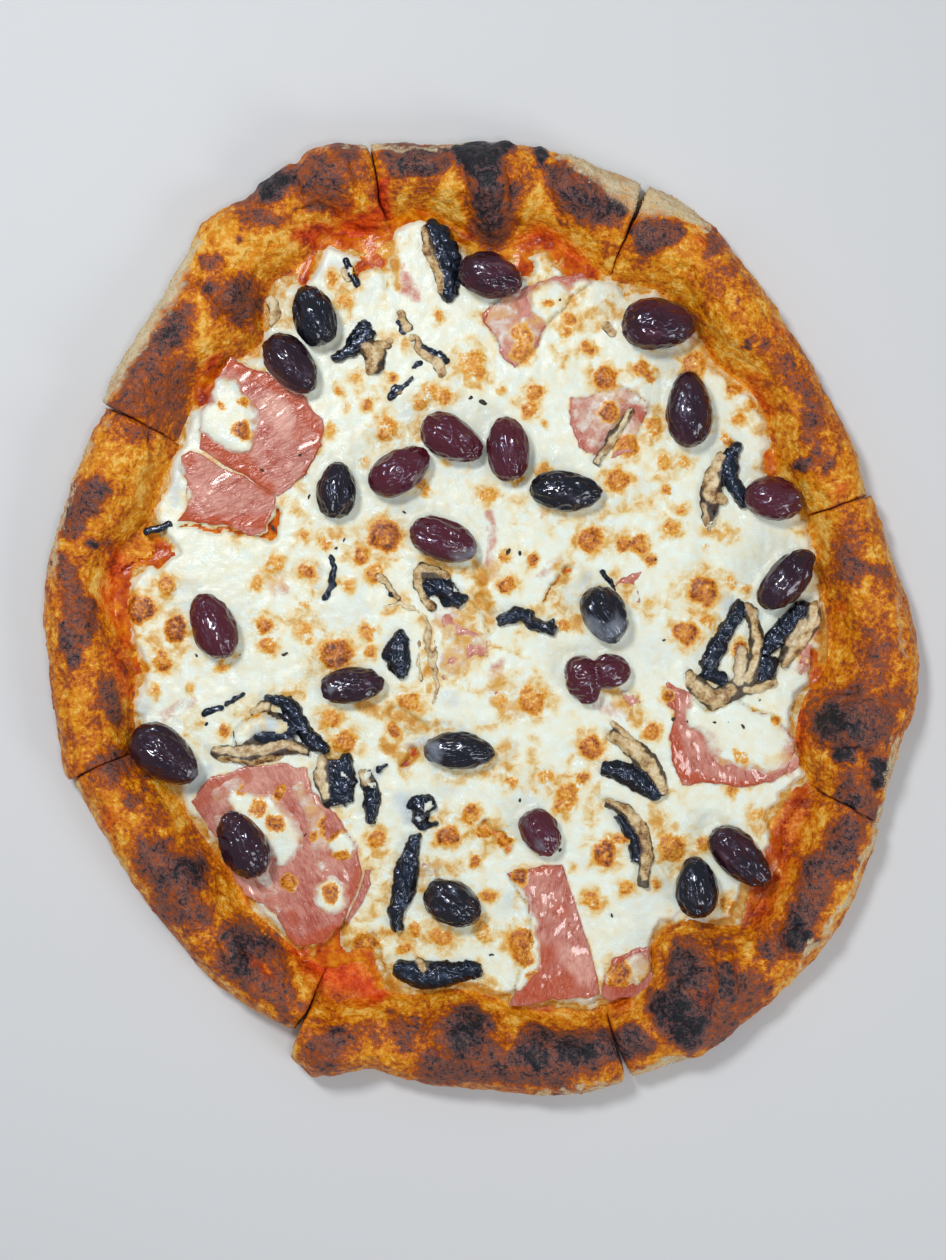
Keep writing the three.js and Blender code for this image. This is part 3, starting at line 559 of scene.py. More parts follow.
def from_edge(points):
    """How far inside the edge of the cheese the points lie; outside it, less than nothing."""
    corners, _ = points_of(nodes["cheese"])
    x = corners[:, 0] - CUT_CENTRE[0]
    y = corners[:, 1] - CUT_CENTRE[1]
    spoke = np.round(np.arctan2(y, x) / (2 * np.pi) * CHEESE_SPOKES).astype(int) % CHEESE_SPOKES
    reach = np.zeros(CHEESE_SPOKES)
    np.maximum.at(reach, spoke, np.hypot(x, y))
    x = points[:, 0] - CUT_CENTRE[0]
    y = points[:, 1] - CUT_CENTRE[1]
    turn = np.arctan2(y, x) / (2 * np.pi) * CHEESE_SPOKES
    return np.interp(turn, np.arange(CHEESE_SPOKES), reach, period=CHEESE_SPOKES) - np.hypot(x, y)


def height_of(pieces, points, otherwise):
    """The height of the uppermost of the pieces at each point, and otherwise this."""
    height = np.full(len(points), otherwise)
    for piece in pieces:
        tree = BVHTree.FromObject(piece, bpy.context.evaluated_depsgraph_get())
        corners, _ = points_of(piece)
        low = corners.min(0) - MM
        high = corners.max(0) + MM
        within = np.all((points[:, :2] > low[:2]) & (points[:, :2] < high[:2]), axis=1)
        for at in np.nonzero(within)[0]:
            hit = tree.ray_cast((points[at, 0], points[at, 1], ABOVE_ALL), (0, 0, -1))[0]
            if hit:
                height[at] = max(height[at], hit.z)
    return height


def dough_under(points):
    """The height of the dough at each point, with the cuts bridged over."""
    height = height_of(crusts, points, 0.0)
    for step in ((1, 0), (-1, 0), (0, 1), (0, -1), (1, 1), (-1, -1)):
        missing = np.nonzero(height < DOUGH_TOP - 0.6 * MM)[0]
        beside = points[missing] + np.array((*step, 0)) * 1.1 * MM
        height[missing] = np.maximum(height[missing], height_of(crusts, beside, 0.0))
    return np.maximum(height, DOUGH_TOP)


def flat_sheet(name, cell):
    """A square sheet of cells this wide, over the whole pizza."""
    bpy.ops.object.select_all(action="DESELECT")
    cells = int(SHEET_SPAN / cell)
    bpy.ops.mesh.primitive_grid_add(x_subdivisions=cells, y_subdivisions=cells, size=SHEET_SPAN,
                                    location=SHEET_MIDDLE)
    bpy.ops.object.transform_apply(location=True)
    sheet = bpy.context.object
    sheet.name = name
    return sheet


def spread(field, cells):
    """Averages a square field over this many cells each way."""
    square = field.reshape(int(len(field) ** 0.5), -1)
    for axis in (0, 1):
        square = sum(np.roll(square, step, axis) for step in range(-cells, cells + 1)) / (2 * cells + 1)
    return square.ravel()


def cut_out(sheet, keep, bottom):
    """Deletes what isn't kept of a sheet, and closes it underneath, flat, at this height."""
    bpy.context.view_layer.objects.active = sheet
    bpy.ops.object.mode_set(mode="EDIT")
    bpy.ops.mesh.select_mode(type="VERT")
    bpy.ops.mesh.select_all(action="DESELECT")
    bpy.ops.object.mode_set(mode="OBJECT")
    sheet.data.vertices.foreach_set("select", ~keep)
    bpy.ops.object.mode_set(mode="EDIT")
    bpy.ops.mesh.delete(type="VERT")
    bpy.ops.mesh.select_all(action="SELECT")
    bpy.ops.mesh.region_to_loop()
    bpy.ops.mesh.extrude_edges_move(TRANSFORM_OT_translate={"value": (0, 0, -MM)})
    bpy.ops.object.mode_set(mode="OBJECT")
    points, _ = points_of(sheet)
    points[int(keep.sum()):, 2] = bottom
    move_points(sheet, points)
    bpy.ops.object.mode_set(mode="EDIT")
    bpy.ops.mesh.select_all(action="SELECT")
    bpy.ops.mesh.fill_holes(sides=0)
    bpy.ops.mesh.select_all(action="SELECT")
    bpy.ops.mesh.normals_make_consistent(inside=False)
    bpy.ops.object.mode_set(mode="OBJECT")


def tomato_sauce():
    """Cooked tomato sauce, wet and slightly lumpy: the eye sees clear orange-red with darker
    bits, shining where oil has gathered."""
    material, tree, shader = new_material("cooked_tomato_sauce")
    place = add_node(tree, "TexCoord", output="Object")
    deep = add_node(tree, "Attribute", output="Fac", attribute_name="deep")
    pulp = add_node(tree, "TexNoise", Vector=place, Scale=1 / (5.0 * MM), Detail=4.0, Roughness=0.55)
    fine = add_node(tree, "TexNoise", Vector=place, Scale=1 / (1.4 * MM), Detail=3.0, Roughness=0.6)
    pulpy = add_node(tree, "Math", fine, 0.35, pulp, operation="MULTIPLY_ADD")
    shade = add_node(tree, "Math", deep, 0.16, pulpy, operation="MULTIPLY_ADD")
    colour = add_node(tree, "ValToRGB", shade)
    shade_stops(colour, (
        (0.5, "#ecaa34"), (0.64, "#dc8410"), (0.78, "#c95e04"), (0.9, "#b44204"), (1.0, "#8e2804"),
    ))
    bump = add_node(tree, "Bump", Height=shade, Strength=0.5, Distance=0.6 * MM)
    tree.links.new(colour, shader.inputs["Base Color"])
    tree.links.new(bump, shader.inputs["Normal"])
    shader.inputs["Roughness"].default_value = 0.2
    shader.inputs["Specular IOR Level"].default_value = 0.25
    return material


sauce = flat_sheet("tomato_sauce", SAUCE_CELL)
points, _ = points_of(sauce)
inward = from_edge(points) / MM
keep = spread((inward > -9).astype(float), 2) > 0.5
pixels = seen(points + (0, 0, SAUCE_TOP))
pool = brush(stray(pixels, points, 3.0, 3 * MM, 3, 35), POOLS, -0.7, 0.5)
film = SAUCE_FILM + 0.22 * lumps(points, 7 * MM, 2, 8) + 0.15 * pool
film -= 0.35 * np.clip(2 - inward - 9 * pool, 0, 4) + 3.0 * smooth(-4.5, -8, inward)
points[keep, 2] = dough_under(points[keep]) + film[keep] * MM
points[:, 2] -= 3 * MM * ((from_cuts(points) < 1 * MM) & (film < 0))
points[:, 2] = np.maximum(points[:, 2], DOUGH_TOP + 0.1 * MM)
move_points(sauce, points)
paint(sauce, "deep", pool + 0.5 * lumps(points, 9 * MM, 3, 9))
cut_out(sauce, keep, DOUGH_TOP - 0.1 * MM)
bpy.ops.object.shade_smooth()
sauce.data.materials.append(tomato_sauce())
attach(sauce, "root")


# ---- The ham -----------------------------------------------------------------------------------
# Cooked ham, in slices 1.4 mm thick. The heat has shrunk it into low waves, reddened its
# edges and drawn out fat that shines on top.
HAM_NODES = (
    "ham_1_upper", "ham_1_lower", "ham_2_upper", "ham_2_lower", "ham_3", "ham_4", "ham_5", "ham_6", "ham_7",
)
HAM_VOXEL = 0.5 * MM
# The way the fibres of each slice run, in degrees.
HAM_GRAIN = {"ham_1": 30, "ham_2": 120, "ham_3": 75, "ham_4": 80, "ham_5": 100, "ham_6": 50, "ham_7": 20}
# Where it is flushed orange-red, and where it is palest, in pixels of the photograph.
FLUSHED = (
    (0.8, ((228, 362, 8), (262, 375, 9), (295, 400, 9), (319, 432, 6), (318, 460, 6), (300, 488, 7))),
    (0.8, ((205, 440, 8), (240, 462, 12), (268, 490, 8))),
    (0.9, ((175, 516, 5), (225, 522, 6), (268, 522, 9))), (0.7, ((190, 460, 8),)),
    (0.55, ((202, 800, 12), (215, 787, 8), (245, 777, 8))), (0.45, ((282, 792, 9),)),
    (0.7, ((205, 838, 9),)), (0.8, ((255, 915, 8), (300, 945, 9), (345, 925, 8))),
    (0.7, ((292, 918, 8),)), (0.7, ((362, 868, 6), (345, 910, 8))), (0.7, ((330, 850, 8),)),
    (0.9, ((620, 975, 24),)), (0.7, ((512, 870, 8), (550, 868, 7))),
    (0.8, ((560, 985, 18), (520, 997, 8), (545, 955, 14))), (0.6, ((560, 910, 10),)),
    (0.8, ((498, 310, 11), (488, 335, 9))), (0.6, ((640, 405, 9), (645, 430, 8))),
    (0.8, ((670, 690, 6), (673, 740, 8), (682, 775, 8), (725, 787, 7), (772, 787, 7))),
    (0.7, ((790, 750, 9),)), (0.5, ((300, 430, 9),)), (0.6, ((572, 990, 12), (590, 996, 6))),
)
PALEST = (
    (0.9, ((275, 405, 14), (285, 425, 9))), (0.6, ((200, 500, 14),)),
    (0.8, ((300, 768, 14), (312, 805, 10))), (0.6, ((250, 800, 30),)), (0.5, ((320, 860, 16),)),
    (0.5, ((225, 840, 10), (250, 875, 12))), (0.6, ((240, 792, 8),)), (0.6, ((270, 890, 16),)),
    (0.7, ((565, 950, 9), (585, 975, 9))), (0.9, ((590, 405, 12), (600, 440, 14))),
    (0.8, ((505, 325, 12),)), (0.6, ((700, 735, 14),)),
)


def cooked_ham():
    """Cooked ham, moist and slightly see-through: the eye sees pink with paler grain, orange
    at the edges, and sharp little glints of fat along its wrinkles."""
    material, tree, shader = new_material("cooked_ham")
    place = add_node(tree, "TexCoord", output="Object")
    grain = add_node(tree, "Attribute", output="Vector", attribute_name="grain")
    flush, pale = (
        add_node(tree, "Attribute", output="Fac", attribute_name=name) for name in ("flush", "pale")
    )
    fibre = add_node(tree, "TexNoise", Vector=grain, Scale=1 / (1.6 * MM), Detail=4.0, Roughness=0.65)
    patch = add_node(tree, "TexNoise", Vector=place, Scale=1 / (6.0 * MM), Detail=4.0, Roughness=0.6)
    wrinkle = add_node(tree, "TexNoise", Vector=grain, Scale=1 / (2.2 * MM), Detail=2.0, Roughness=0.5,
                       Distortion=0.6)
    both = add_node(tree, "Math", fibre, patch, operation="ADD")
    paler = add_node(tree, "Math", pale, 0.45, both, operation="MULTIPLY_ADD")
    flesh = add_node(tree, "Mix", add_node(tree, "MapRange", paler, 0.78, 1.4), "#b45645", "#e2a594",
                     data_type="RGBA")
    redder = add_node(tree, "Math", both, 0.6, flush, operation="MULTIPLY_ADD")
    colour = add_node(tree, "Mix", add_node(tree, "MapRange", redder, 0.75, 1.5), flesh, "#bc4a1a",
                      data_type="RGBA")
    off_middle = add_node(tree, "Math", wrinkle, 0.5, operation="SUBTRACT")
    off_line = add_node(tree, "Math", off_middle, operation="ABSOLUTE")
    ridge = add_node(tree, "MapRange", off_line, 0.0, 0.12, 1.0, 0.0)
    relief = add_node(tree, "Math", ridge, 0.5, fibre, operation="MULTIPLY_ADD")
    bump = add_node(tree, "Bump", Height=relief, Strength=0.85, Distance=0.45 * MM)
    moist = add_node(tree, "MapRange", patch, 0.36, 0.62, 0.12, 0.38)
    tree.links.new(colour, shader.inputs["Base Color"])
    tree.links.new(moist, shader.inputs["Roughness"])
    tree.links.new(bump, shader.inputs["Normal"])
    shader.inputs["Coat Weight"].default_value = 0.4
    shader.inputs["Coat Roughness"].default_value = 0.08
    shader.inputs["Subsurface Weight"].default_value = 0.15
    shader.inputs["Subsurface Radius"].default_value = (1.5 * MM, 0.6 * MM, 0.4 * MM)
    shader.inputs["Subsurface Scale"].default_value = 1.0
    return material


ham_material = cooked_ham()
hams = []
for node in HAM_NODES:
    ham = copy_of(node, node.replace("ham", "ham_slice"))
    apply_modifier(ham, "REMESH", mode="VOXEL", voxel_size=HAM_VOXEL)
    apply_modifier(ham, "SMOOTH", factor=0.5, iterations=10)
    points, normals = points_of(ham)
    outline = points * (1, 1, 0)
    free = MM * smooth(1.5 * MM, 7 * MM, from_cuts(points))
    for axis, seed in ((0, 39), (1, 40)):
        wander = 1.5 * lumps(outline, 8 * MM, 1, seed) + 0.5 * lumps(outline, 2.2 * MM, 2, seed + 2)
        points[:, axis] += free * wander
    close_cuts(points, 1.6 * MM, 6 * MM)
    turn = np.radians(HAM_GRAIN[node[:5]])
    along = points[:, 0] * np.cos(turn) + points[:, 1] * np.sin(turn)
    across = points[:, 1] * np.cos(turn) - points[:, 0] * np.sin(turn)
    grain = np.stack([0.35 * along, across, points[:, 2]], 1)
    level = np.stack([0.6 * along, across, 0 * along], 1)
    ridges = 0.1 - 0.2 * np.abs(lumps(level, 4.5 * MM, 2, 43))
    ridges += 0.3 * lumps(level, 9 * MM, 1, 10) + 0.12 * lumps(level, 2.4 * MM, 2, 11)
    points[:, 2] += MM * ridges
    flat = smooth(0.5, 0.95, np.abs(normals[:, 2]))
    move_points(ham, points)
    bpy.ops.object.shade_smooth()
    ragged = stray(seen(points), points, 3.0, 4 * MM, 2, 3)
    flush = 0.7 * (1 - flat) + 0.15 * lumps(points, 12 * MM, 2, 12)
    paint(ham, "flush", brush(ragged, FLUSHED, -0.5, 0.6, flush))
    paint(ham, "pale", brush(ragged, PALEST, -0.5, 0.6))
    paint(ham, "grain", grain)
    ham.data.materials.append(ham_material)
    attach(ham, "root")
    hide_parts(node)
    hams.append(ham)


# ---- The olives --------------------------------------------------------------------------------
# Dark brined olives with their stones, oval and slightly pointed. The oven has dried their skins
# into fine wrinkles, and one has torn in two.
OLIVE_COUNT = 23                   # besides the torn one
# How red the skin is, from 0 for black. The rest are in between.
RED_OLIVES = {3: 0.55, 4: 0.5, 5: 0.45, 6: 0.75, 7: 0.7, 8: 0.75, 11: 0.75, 12: 1.0, 15: 0.85, 20: 0.95}
BLACK_OLIVES = (1, 9, 10, 14, 18, 21, 22)
# Olives under a film of cheese: the film's strokes, in pixels of the photograph.
FILMED = (
    (0.7, ((590, 624, 9), (605, 636, 12), (618, 624, 9))), (0.6, ((430, 745, 7), (434, 755, 7))),
    (0.5, ((460, 556, 9), (474, 552, 7))), (0.6, ((330, 690, 5),)), (0.5, ((425, 880, 5),)),
    (0.45, ((196, 776, 6),)), (0.4, ((540, 846, 7),)),
)


def olive_skin():
    """The skin of a brined olive, wet and thin: the eye sees nearly black purple or wine red,
    with pale wiry glints along its wrinkles."""
    material, tree, shader = new_material("wrinkled_olive_skin")
    lie = add_node(tree, "Attribute", output="Vector", attribute_name="lie")
    red, film = (
        add_node(tree, "Attribute", output="Fac", attribute_name=name) for name in ("red", "film")
    )
    patch = add_node(tree, "TexNoise", Vector=lie, Scale=1 / (5.0 * MM), Detail=3.0, Roughness=0.6)
    wave = add_node(tree, "TexNoise", Vector=lie, Scale=1 / (2.0 * MM), Detail=1.0, Roughness=0.4,
                    Distortion=0.7)
    off_middle = add_node(tree, "Math", wave, 0.5, operation="SUBTRACT")
    off_line = add_node(tree, "Math", off_middle, operation="ABSOLUTE")
    crest = add_node(tree, "MapRange", off_line, 0.0, 0.14, 1.0, 0.0)
    skin = add_node(tree, "ValToRGB", add_node(tree, "Math", patch, 0.6, red, operation="MULTIPLY_ADD"))
    shade_stops(skin, ((0.2, "#090a14"), (0.5, "#1a0714"), (0.8, "#330818"), (1.0, "#521020")))
    filmed = add_node(tree, "Math", patch, 1.2, film, operation="MULTIPLY_ADD")
    milk = add_node(tree, "MapRange", filmed, 0.75, 1.7)
    colour = add_node(tree, "Mix", milk, skin, "#9aa4b4", data_type="RGBA")
    bump = add_node(tree, "Bump", Height=crest, Strength=0.5, Distance=0.3 * MM)
    wet = add_node(tree, "MapRange", patch, 0.35, 0.65, 0.16, 0.34)
    tree.links.new(colour, shader.inputs["Base Color"])
    tree.links.new(bump, shader.inputs["Normal"])
    tree.links.new(wet, shader.inputs["Roughness"])
    shader.inputs["Specular Tint"].default_value = linear("#c8d8ff")
    shader.inputs["Coat Weight"].default_value = 0.8
    shader.inputs["Coat Roughness"].default_value = 0.07
    return material


olive_material = olive_skin()
olives = []
for number, node in enumerate([f"olive_{row}" for row in range(1, OLIVE_COUNT + 1)] + ["olive_torn"], 1):
    olive = copy_of(node, node.replace("olive", "black_olive"))
    low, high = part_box(node)
    if node == "olive_torn":
        apply_modifier(olive, "REMESH", mode="VOXEL", voxel_size=0.5 * MM)
        apply_modifier(olive, "SMOOTH", factor=0.5, iterations=14)
    else:
        apply_modifier(olive, "SUBSURF", levels=3, render_levels=3)
    points, normals = points_of(olive)
    span = points.max(0) - points.min(0)
    points = np.array(low) + (points - points.min(0)) * (np.array(high) - np.array(low)) / span
    middle = points.mean(0)
    axes = np.linalg.svd(points - middle, full_matrices=False)[2]
    own = (points - middle) @ axes.T
    lie = own * (0.45, 1, 1) + 0.05 * number
    furrow = 1 - 2 * np.abs(lumps(lie, 2.8 * MM, 2, 13))
    fine = 1 - 2 * np.abs(lumps(lie, 1.5 * MM, 1, 14))
    slack = smooth(-0.6, 0.5, lumps(points + number * 0.03, 9 * MM, 1, 15))
    sink = (0.18 + 0.4 * slack) * furrow + 0.16 * fine + 0.5 * lumps(points + number * 0.03, 10 * MM, 1, 16)
    points += normals * (sink[:, None] - 0.3) * MM
    move_points(olive, points)
    bpy.ops.object.shade_smooth()
    ragged = stray(seen(points), points, 3.0, 3 * MM, 2, 44)
    if node == "olive_torn":
        red = 0.9
    elif number in BLACK_OLIVES:
        red = -0.05
    else:
        red = RED_OLIVES.get(number, 0.38)
    paint(olive, "red", red + 0.12 * lumps(points, 8 * MM, 1, 17))
    paint(olive, "film", brush(ragged, FILMED, -0.9, 0.9))
    paint(olive, "lie", lie)
    olive.data.materials.append(olive_material)
    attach(olive, "root")
    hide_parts(node)
    olives.append(olive)


# ---- The mushrooms -----------------------------------------------------------------------------
# Fresh mushrooms sliced from cap to stem, shrunk and darkened in the oven: nearly black gills,
# a tan strip of cap with a dark skin, and here and there pale flesh.
MUSHROOM_VOXEL = 0.45 * MM
MUSHROOM_BED = 5.9 * MM            # how deep the slices lie in the cheese
CHEESE_TOP = 7.3 * MM
# Each slice as strokes: the tissue, how far its top stands out of the cheese in millimetres, and
# a row of x, y and radius in pixels of the photograph.
MUSHROOM_SLICES = {
    "mushroom_1": (
        ("gill", 2.6, ((432, 225, 6), (444, 236, 8), (452, 258, 9), (453, 280, 9), (447, 296, 7))),
        ("cap", 1.9, ((424, 232, 4), (427, 248, 4), (434, 264, 4), (440, 280, 4), (441, 292, 4))),
    ),
    "mushroom_2": (
        ("gill", 2.3, ((338, 357, 5), (350, 347, 7), (360, 334, 8), (365, 325, 6))),
        ("cap", 2.0, ((366, 346, 5), (376, 355, 9), (371, 369, 5))),
        ("cap", 1.6, ((378, 344, 4), (388, 345, 4))),
    ),
    "mushroom_3": (("flesh", 1.5, ((629, 410, 2), (618, 434, 4), (606, 450, 4), (598, 461, 4))),),
    "mushroom_4": (
        ("gill", 3.0, ((736, 447, 5), (730, 457, 7), (730, 475, 8), (738, 494, 8), (746, 503, 5))),
        ("cap", 2.0, ((721, 456, 5), (712, 474, 7), (709, 494, 7), (722, 500, 6))),
        ("flesh", 1.0, ((704, 507, 4), (707, 522, 3), (709, 529, 2))),
    ),
    "mushroom_5": (
        ("gill", 2.8, ((743, 607, 5), (732, 622, 8), (720, 642, 9), (710, 661, 9), (707, 674, 6),
              (722, 679, 6))),
        ("cap", 2.4, ((748, 605, 4), (755, 621, 5), (758, 640, 5), (755, 660, 5), (748, 678, 5))),
        ("flesh", 2.0, ((742, 652, 6), (740, 668, 7), (738, 682, 5))),
        ("cap", 2.4, ((688, 673, 4), (693, 685, 7), (706, 694, 9), (718, 700, 10), (731, 690, 7))),
        ("gill", 2.0, ((766, 662, 6), (766, 674, 6))),
        ("cap", 1.6, ((745, 690, 4), (760, 688, 4), (775, 682, 4))),
    ),
    "mushroom_6": (
        ("gill", 2.8, ((803, 607, 5), (788, 622, 8), (773, 640, 9), (767, 650, 6))),
        ("cap", 2.3, ((814, 605, 4), (814, 622, 6), (803, 640, 7), (790, 655, 6), (785, 664, 4))),
        ("flesh", 1.9, ((802, 624, 5), (791, 643, 6))),
    ),
    "mushroom_7": (
        ("gill", 2.1, ((502, 620, 4), (514, 617, 7), (530, 613, 5))),
        ("gill", 1.7, ((530, 625, 4), (545, 628, 5), (553, 621, 3))),
    ),
    "mushroom_8": (
        ("gill", 2.4, ((428, 590, 6), (440, 588, 7), (446, 581, 5))),
        ("gill", 2.1, ((447, 602, 6), (464, 598, 5))),
        ("cap", 2.3, ((416, 571, 4), (418, 586, 4), (424, 600, 4), (432, 606, 4))),
        ("cap", 2.1, ((420, 569, 4), (435, 570, 5), (447, 576, 4))),
    ),
    "mushroom_9": (
        ("gill", 2.6, ((401, 634, 5), (400, 648, 10), (402, 664, 8), (402, 674, 5))),
        ("gill", 1.8, ((384, 659, 3), (396, 655, 5))),
    ),
    "mushroom_10": (
        ("flesh", 2.2, ((214, 748, 3), (235, 752, 6), (262, 750, 6), (286, 744, 5), (304, 750, 4))),
        ("cap", 1.5, ((222, 758, 3), (250, 763, 3), (280, 757, 3))),
        ("gill", 2.7, ((268, 697, 4), (285, 704, 6), (297, 718, 7), (305, 732, 8), (318, 744, 7),
              (325, 749, 4))), ("cap", 1.7, ((255, 712, 6), (266, 706, 5))),
        ("gill", 1.7, ((262, 739, 4), (280, 735, 6), (292, 728, 6))),
    ),
    "mushroom_11": (
        ("gill", 2.7, ((347, 760, 6), (343, 775, 11), (341, 792, 11), (345, 803, 5))),
        ("flesh", 2.7, ((323, 758, 4), (320, 775, 5), (325, 794, 5))),
    ),
    "mushroom_12": (
        ("flesh", 1.8, ((362, 772, 5), (366, 781, 5))),
        ("gill", 2.3, ((372, 792, 7), (372, 808, 6), (369, 820, 5))),
        ("gill", 1.5, ((379, 769, 4), (386, 765, 3))),
    ),
    "mushroom_13": (
        ("gill", 2.3, ((412, 806, 5), (424, 801, 8), (435, 808, 3))),
        ("gill", 1.8, ((420, 826, 4), (437, 823, 3))),
    ),
    "mushroom_14": (
        ("gill", 2.7, ((416, 838, 5), (410, 852, 8), (405, 875, 10), (402, 894, 9), (400, 905, 6))),
        ("gill", 1.8, ((392, 912, 5), (398, 925, 5))),
    ),
    "mushroom_15": (
        ("gill", 2.7, ((400, 966, 6), (412, 969, 8), (426, 980, 8), (450, 976, 9), (468, 968, 9),
              (478, 971, 5))), ("cap", 2.8, ((419, 961, 4), (423, 970, 4))),
    ),
    "mushroom_16": (
        ("gill", 2.8, ((606, 766, 5), (622, 770, 8), (640, 780, 8), (656, 795, 6))),
        ("cap", 2.4, ((612, 736, 5), (628, 746, 7), (645, 760, 7), (658, 778, 6), (664, 791, 4))),
        ("cap", 1.3, ((612, 723, 2), (626, 733, 3), (642, 750, 3))),
    ),
    "mushroom_17": (
        ("cap", 2.4, ((608, 800, 3), (626, 808, 5), (642, 828, 6), (648, 852, 6), (645, 874, 5))),
        ("gill", 2.1, ((620, 820, 4), (632, 838, 6), (634, 856, 5))),
    ),
}
# Scraps too small to be slices, which are stuck in the cheese.
MUSHROOM_SCRAPS = {
    "scrap_1": (
        ("gill", 0.8, ((345, 260, 4), (350, 270, 4), (357, 283, 3))),
        ("flesh", 0.6, ((342, 270, 3), (348, 280, 3))),
    ),
    "scrap_2": (
        ("cap", 1.1, ((417, 337, 3), (420, 350, 5), (428, 356, 6))),
        ("gill", 1.5, ((424, 346, 3), (432, 352, 4))), ("cap", 1.5, ((437, 362, 7), (441, 374, 5))),
        ("gill", 1.3, ((440, 354, 3), (447, 362, 3))),
    ),
    "scrap_3": (
        ("cap", 1.5, ((401, 315, 5), (405, 327, 7))), ("gill", 1.7, ((399, 322, 4), (403, 333, 3))),
        ("cap", 1.0, ((411, 338, 4),)), ("cap", 0.9, ((392, 340, 4), (386, 344, 3))),
    ),
    "scrap_4": (
        ("gill", 1.0, ((391, 396, 4), (396, 390, 6), (405, 386, 3), (412, 378, 2))),
        ("cap", 0.6, ((400, 392, 4),)), ("gill", 1.0, ((414, 368, 3), (419, 364, 4))),
    ),
    "scrap_5": (
        ("cap", 1.1, ((380, 576, 4), (388, 586, 4), (398, 598, 3))), ("gill", 1.3, ((391, 594, 4),)),
        ("flesh", 0.7, ((385, 606, 2), (400, 604, 3), (420, 612, 2))),
    ),
    "scrap_6": (
        ("flesh", 0.7, ((424, 612, 2), (429, 628, 3), (427, 648, 3), (432, 668, 2))),
        ("flesh", 0.5, ((436, 640, 2), (434, 664, 3), (438, 686, 2), (433, 706, 2))),
        ("flesh", 0.5, ((420, 640, 1.5), (418, 664, 2), (422, 680, 1.5))),
    ),
    "scrap_7": (("gill", 1.2, ((331, 557, 3), (334, 570, 3), (332, 585, 4), (325, 598, 3))),),
    "scrap_8": (
        ("gill", 0.9, ((204, 714, 3), (213, 709, 4), (221, 708, 3))), ("gill", 0.8, ((206, 724, 3),)),
    ),
    "scrap_9": (("gill", 0.9, ((225, 705, 2), (236, 699, 3), (243, 694, 2))),),
    "scrap_10": (("cap", 1.0, ((606, 326, 5), (614, 333, 5))), ("gill", 0.8, ((628, 344, 3),))),
    "scrap_11": (("gill", 1.0, ((146, 531, 3), (158, 529, 4), (170, 524, 3))),),
    "scrap_12": (("cap", 0.6, ((270, 300, 6), (276, 312, 7), (272, 322, 5))),),
    "scrap_13": (("gill", 0.9, ((603, 572, 3), (610, 582, 3), (618, 596, 2))),),
}
GILL_SPACING = 0.7 * MM


def place_along(pixels, path):
    """How far along a stroke's line the pixels lie, and how far aside of it, in pixels."""
    rows = np.array(path, float)
    best = np.full(len(pixels), 1e9)
    along = np.zeros(len(pixels))
    done = 0.0
    for start, end in zip(rows, rows[1:]):
        step = end[:2] - start[:2]
        length = np.hypot(*step)
        part = np.clip((pixels - start[:2]) @ step / length ** 2, 0, 1)
        aside = np.hypot(*(pixels - start[:2] - part[:, None] * step).T)
        along = np.where(aside < best, done + part * length, along)
        best = np.minimum(best, aside)
        done += length
    return along, best


def add_lumps(strokes):
    """Adds rows of flattened balls along the strokes to the piece that is in edit mode."""
    for _, rise, path in strokes:
        rows = np.array(path, float)
        ends = rows[1:] if len(rows) > 1 else rows
        for start, end in zip(rows, ends):
            steps = max(1, int(np.hypot(*(end - start)[:2]) / (0.5 * start[2])))
            for step in range(steps + 1):
                x, y, radius = start + (end - start) * step / steps
                top = CHEESE_TOP + rise * MM
                place = (*place_of((x, y)), (top + MUSHROOM_BED) / 2)
                flatness = (top - MUSHROOM_BED) / 2
                bpy.ops.mesh.primitive_ico_sphere_add(subdivisions=2, radius=1, location=place,
                                                      scale=(radius * PIXEL, radius * PIXEL, flatness))


def tissue_of(piece, strokes):
    """Roughens a slice, and paints what tissue each point of it is."""
    apply_modifier(piece, "REMESH", mode="VOXEL", voxel_size=MUSHROOM_VOXEL)
    apply_modifier(piece, "SMOOTH", factor=0.5, iterations=3)
    points, normals = points_of(piece)
    pixels = seen(points)
    depths = np.array([depth_in(pixels, path) for _, _, path in strokes])
    nearest = depths.argmax(0)
    kinds = np.array([("gill", "flesh", "cap").index(kind) for kind, _, _ in strokes])[nearest]
    along = np.zeros(len(points))
    aside = np.zeros(len(points))
    for number, (_, _, path) in enumerate(strokes):
        if len(path) > 1:
            own = nearest == number
            along[own], aside[own] = place_along(pixels[own], path)
    wrinkle = 1 - 2 * np.abs(lumps(points, 2.2 * MM, 2, 18))
    run = np.where(kinds == 2, along, aside) * PIXEL / GILL_SPACING
    patchy = smooth(-0.5, 0.5, lumps(points, 3 * MM, 1, 46))
    plates = patchy * np.cos(2 * np.pi * run + 4.0 * lumps(points, 2 * MM, 2, 19))
    relief = 0.3 * wrinkle + 0.4 * lumps(points, 4 * MM, 1, 20) + 0.12 * plates * (kinds == 0)
    upper = smooth(MUSHROOM_BED, CHEESE_TOP, points[:, 2])
    points += normals * (relief * upper)[:, None] * MM
    for axis, seed in ((0, 47), (1, 48)):
        points[:, axis] += 0.55 * MM * upper * lumps(points, 2.6 * MM, 2, seed)
    move_points(piece, points)
    bpy.ops.object.shade_smooth()
    paint(piece, "cap", (kinds == 2).astype(float))
    paint(piece, "flesh", (kinds == 1).astype(float))
    paint(piece, "skin", smooth(0.26, 0.0, depths.max(0) + 0.3 * lumps(points, 2 * MM, 2, 49)))
    paint(piece, "plates", plates)


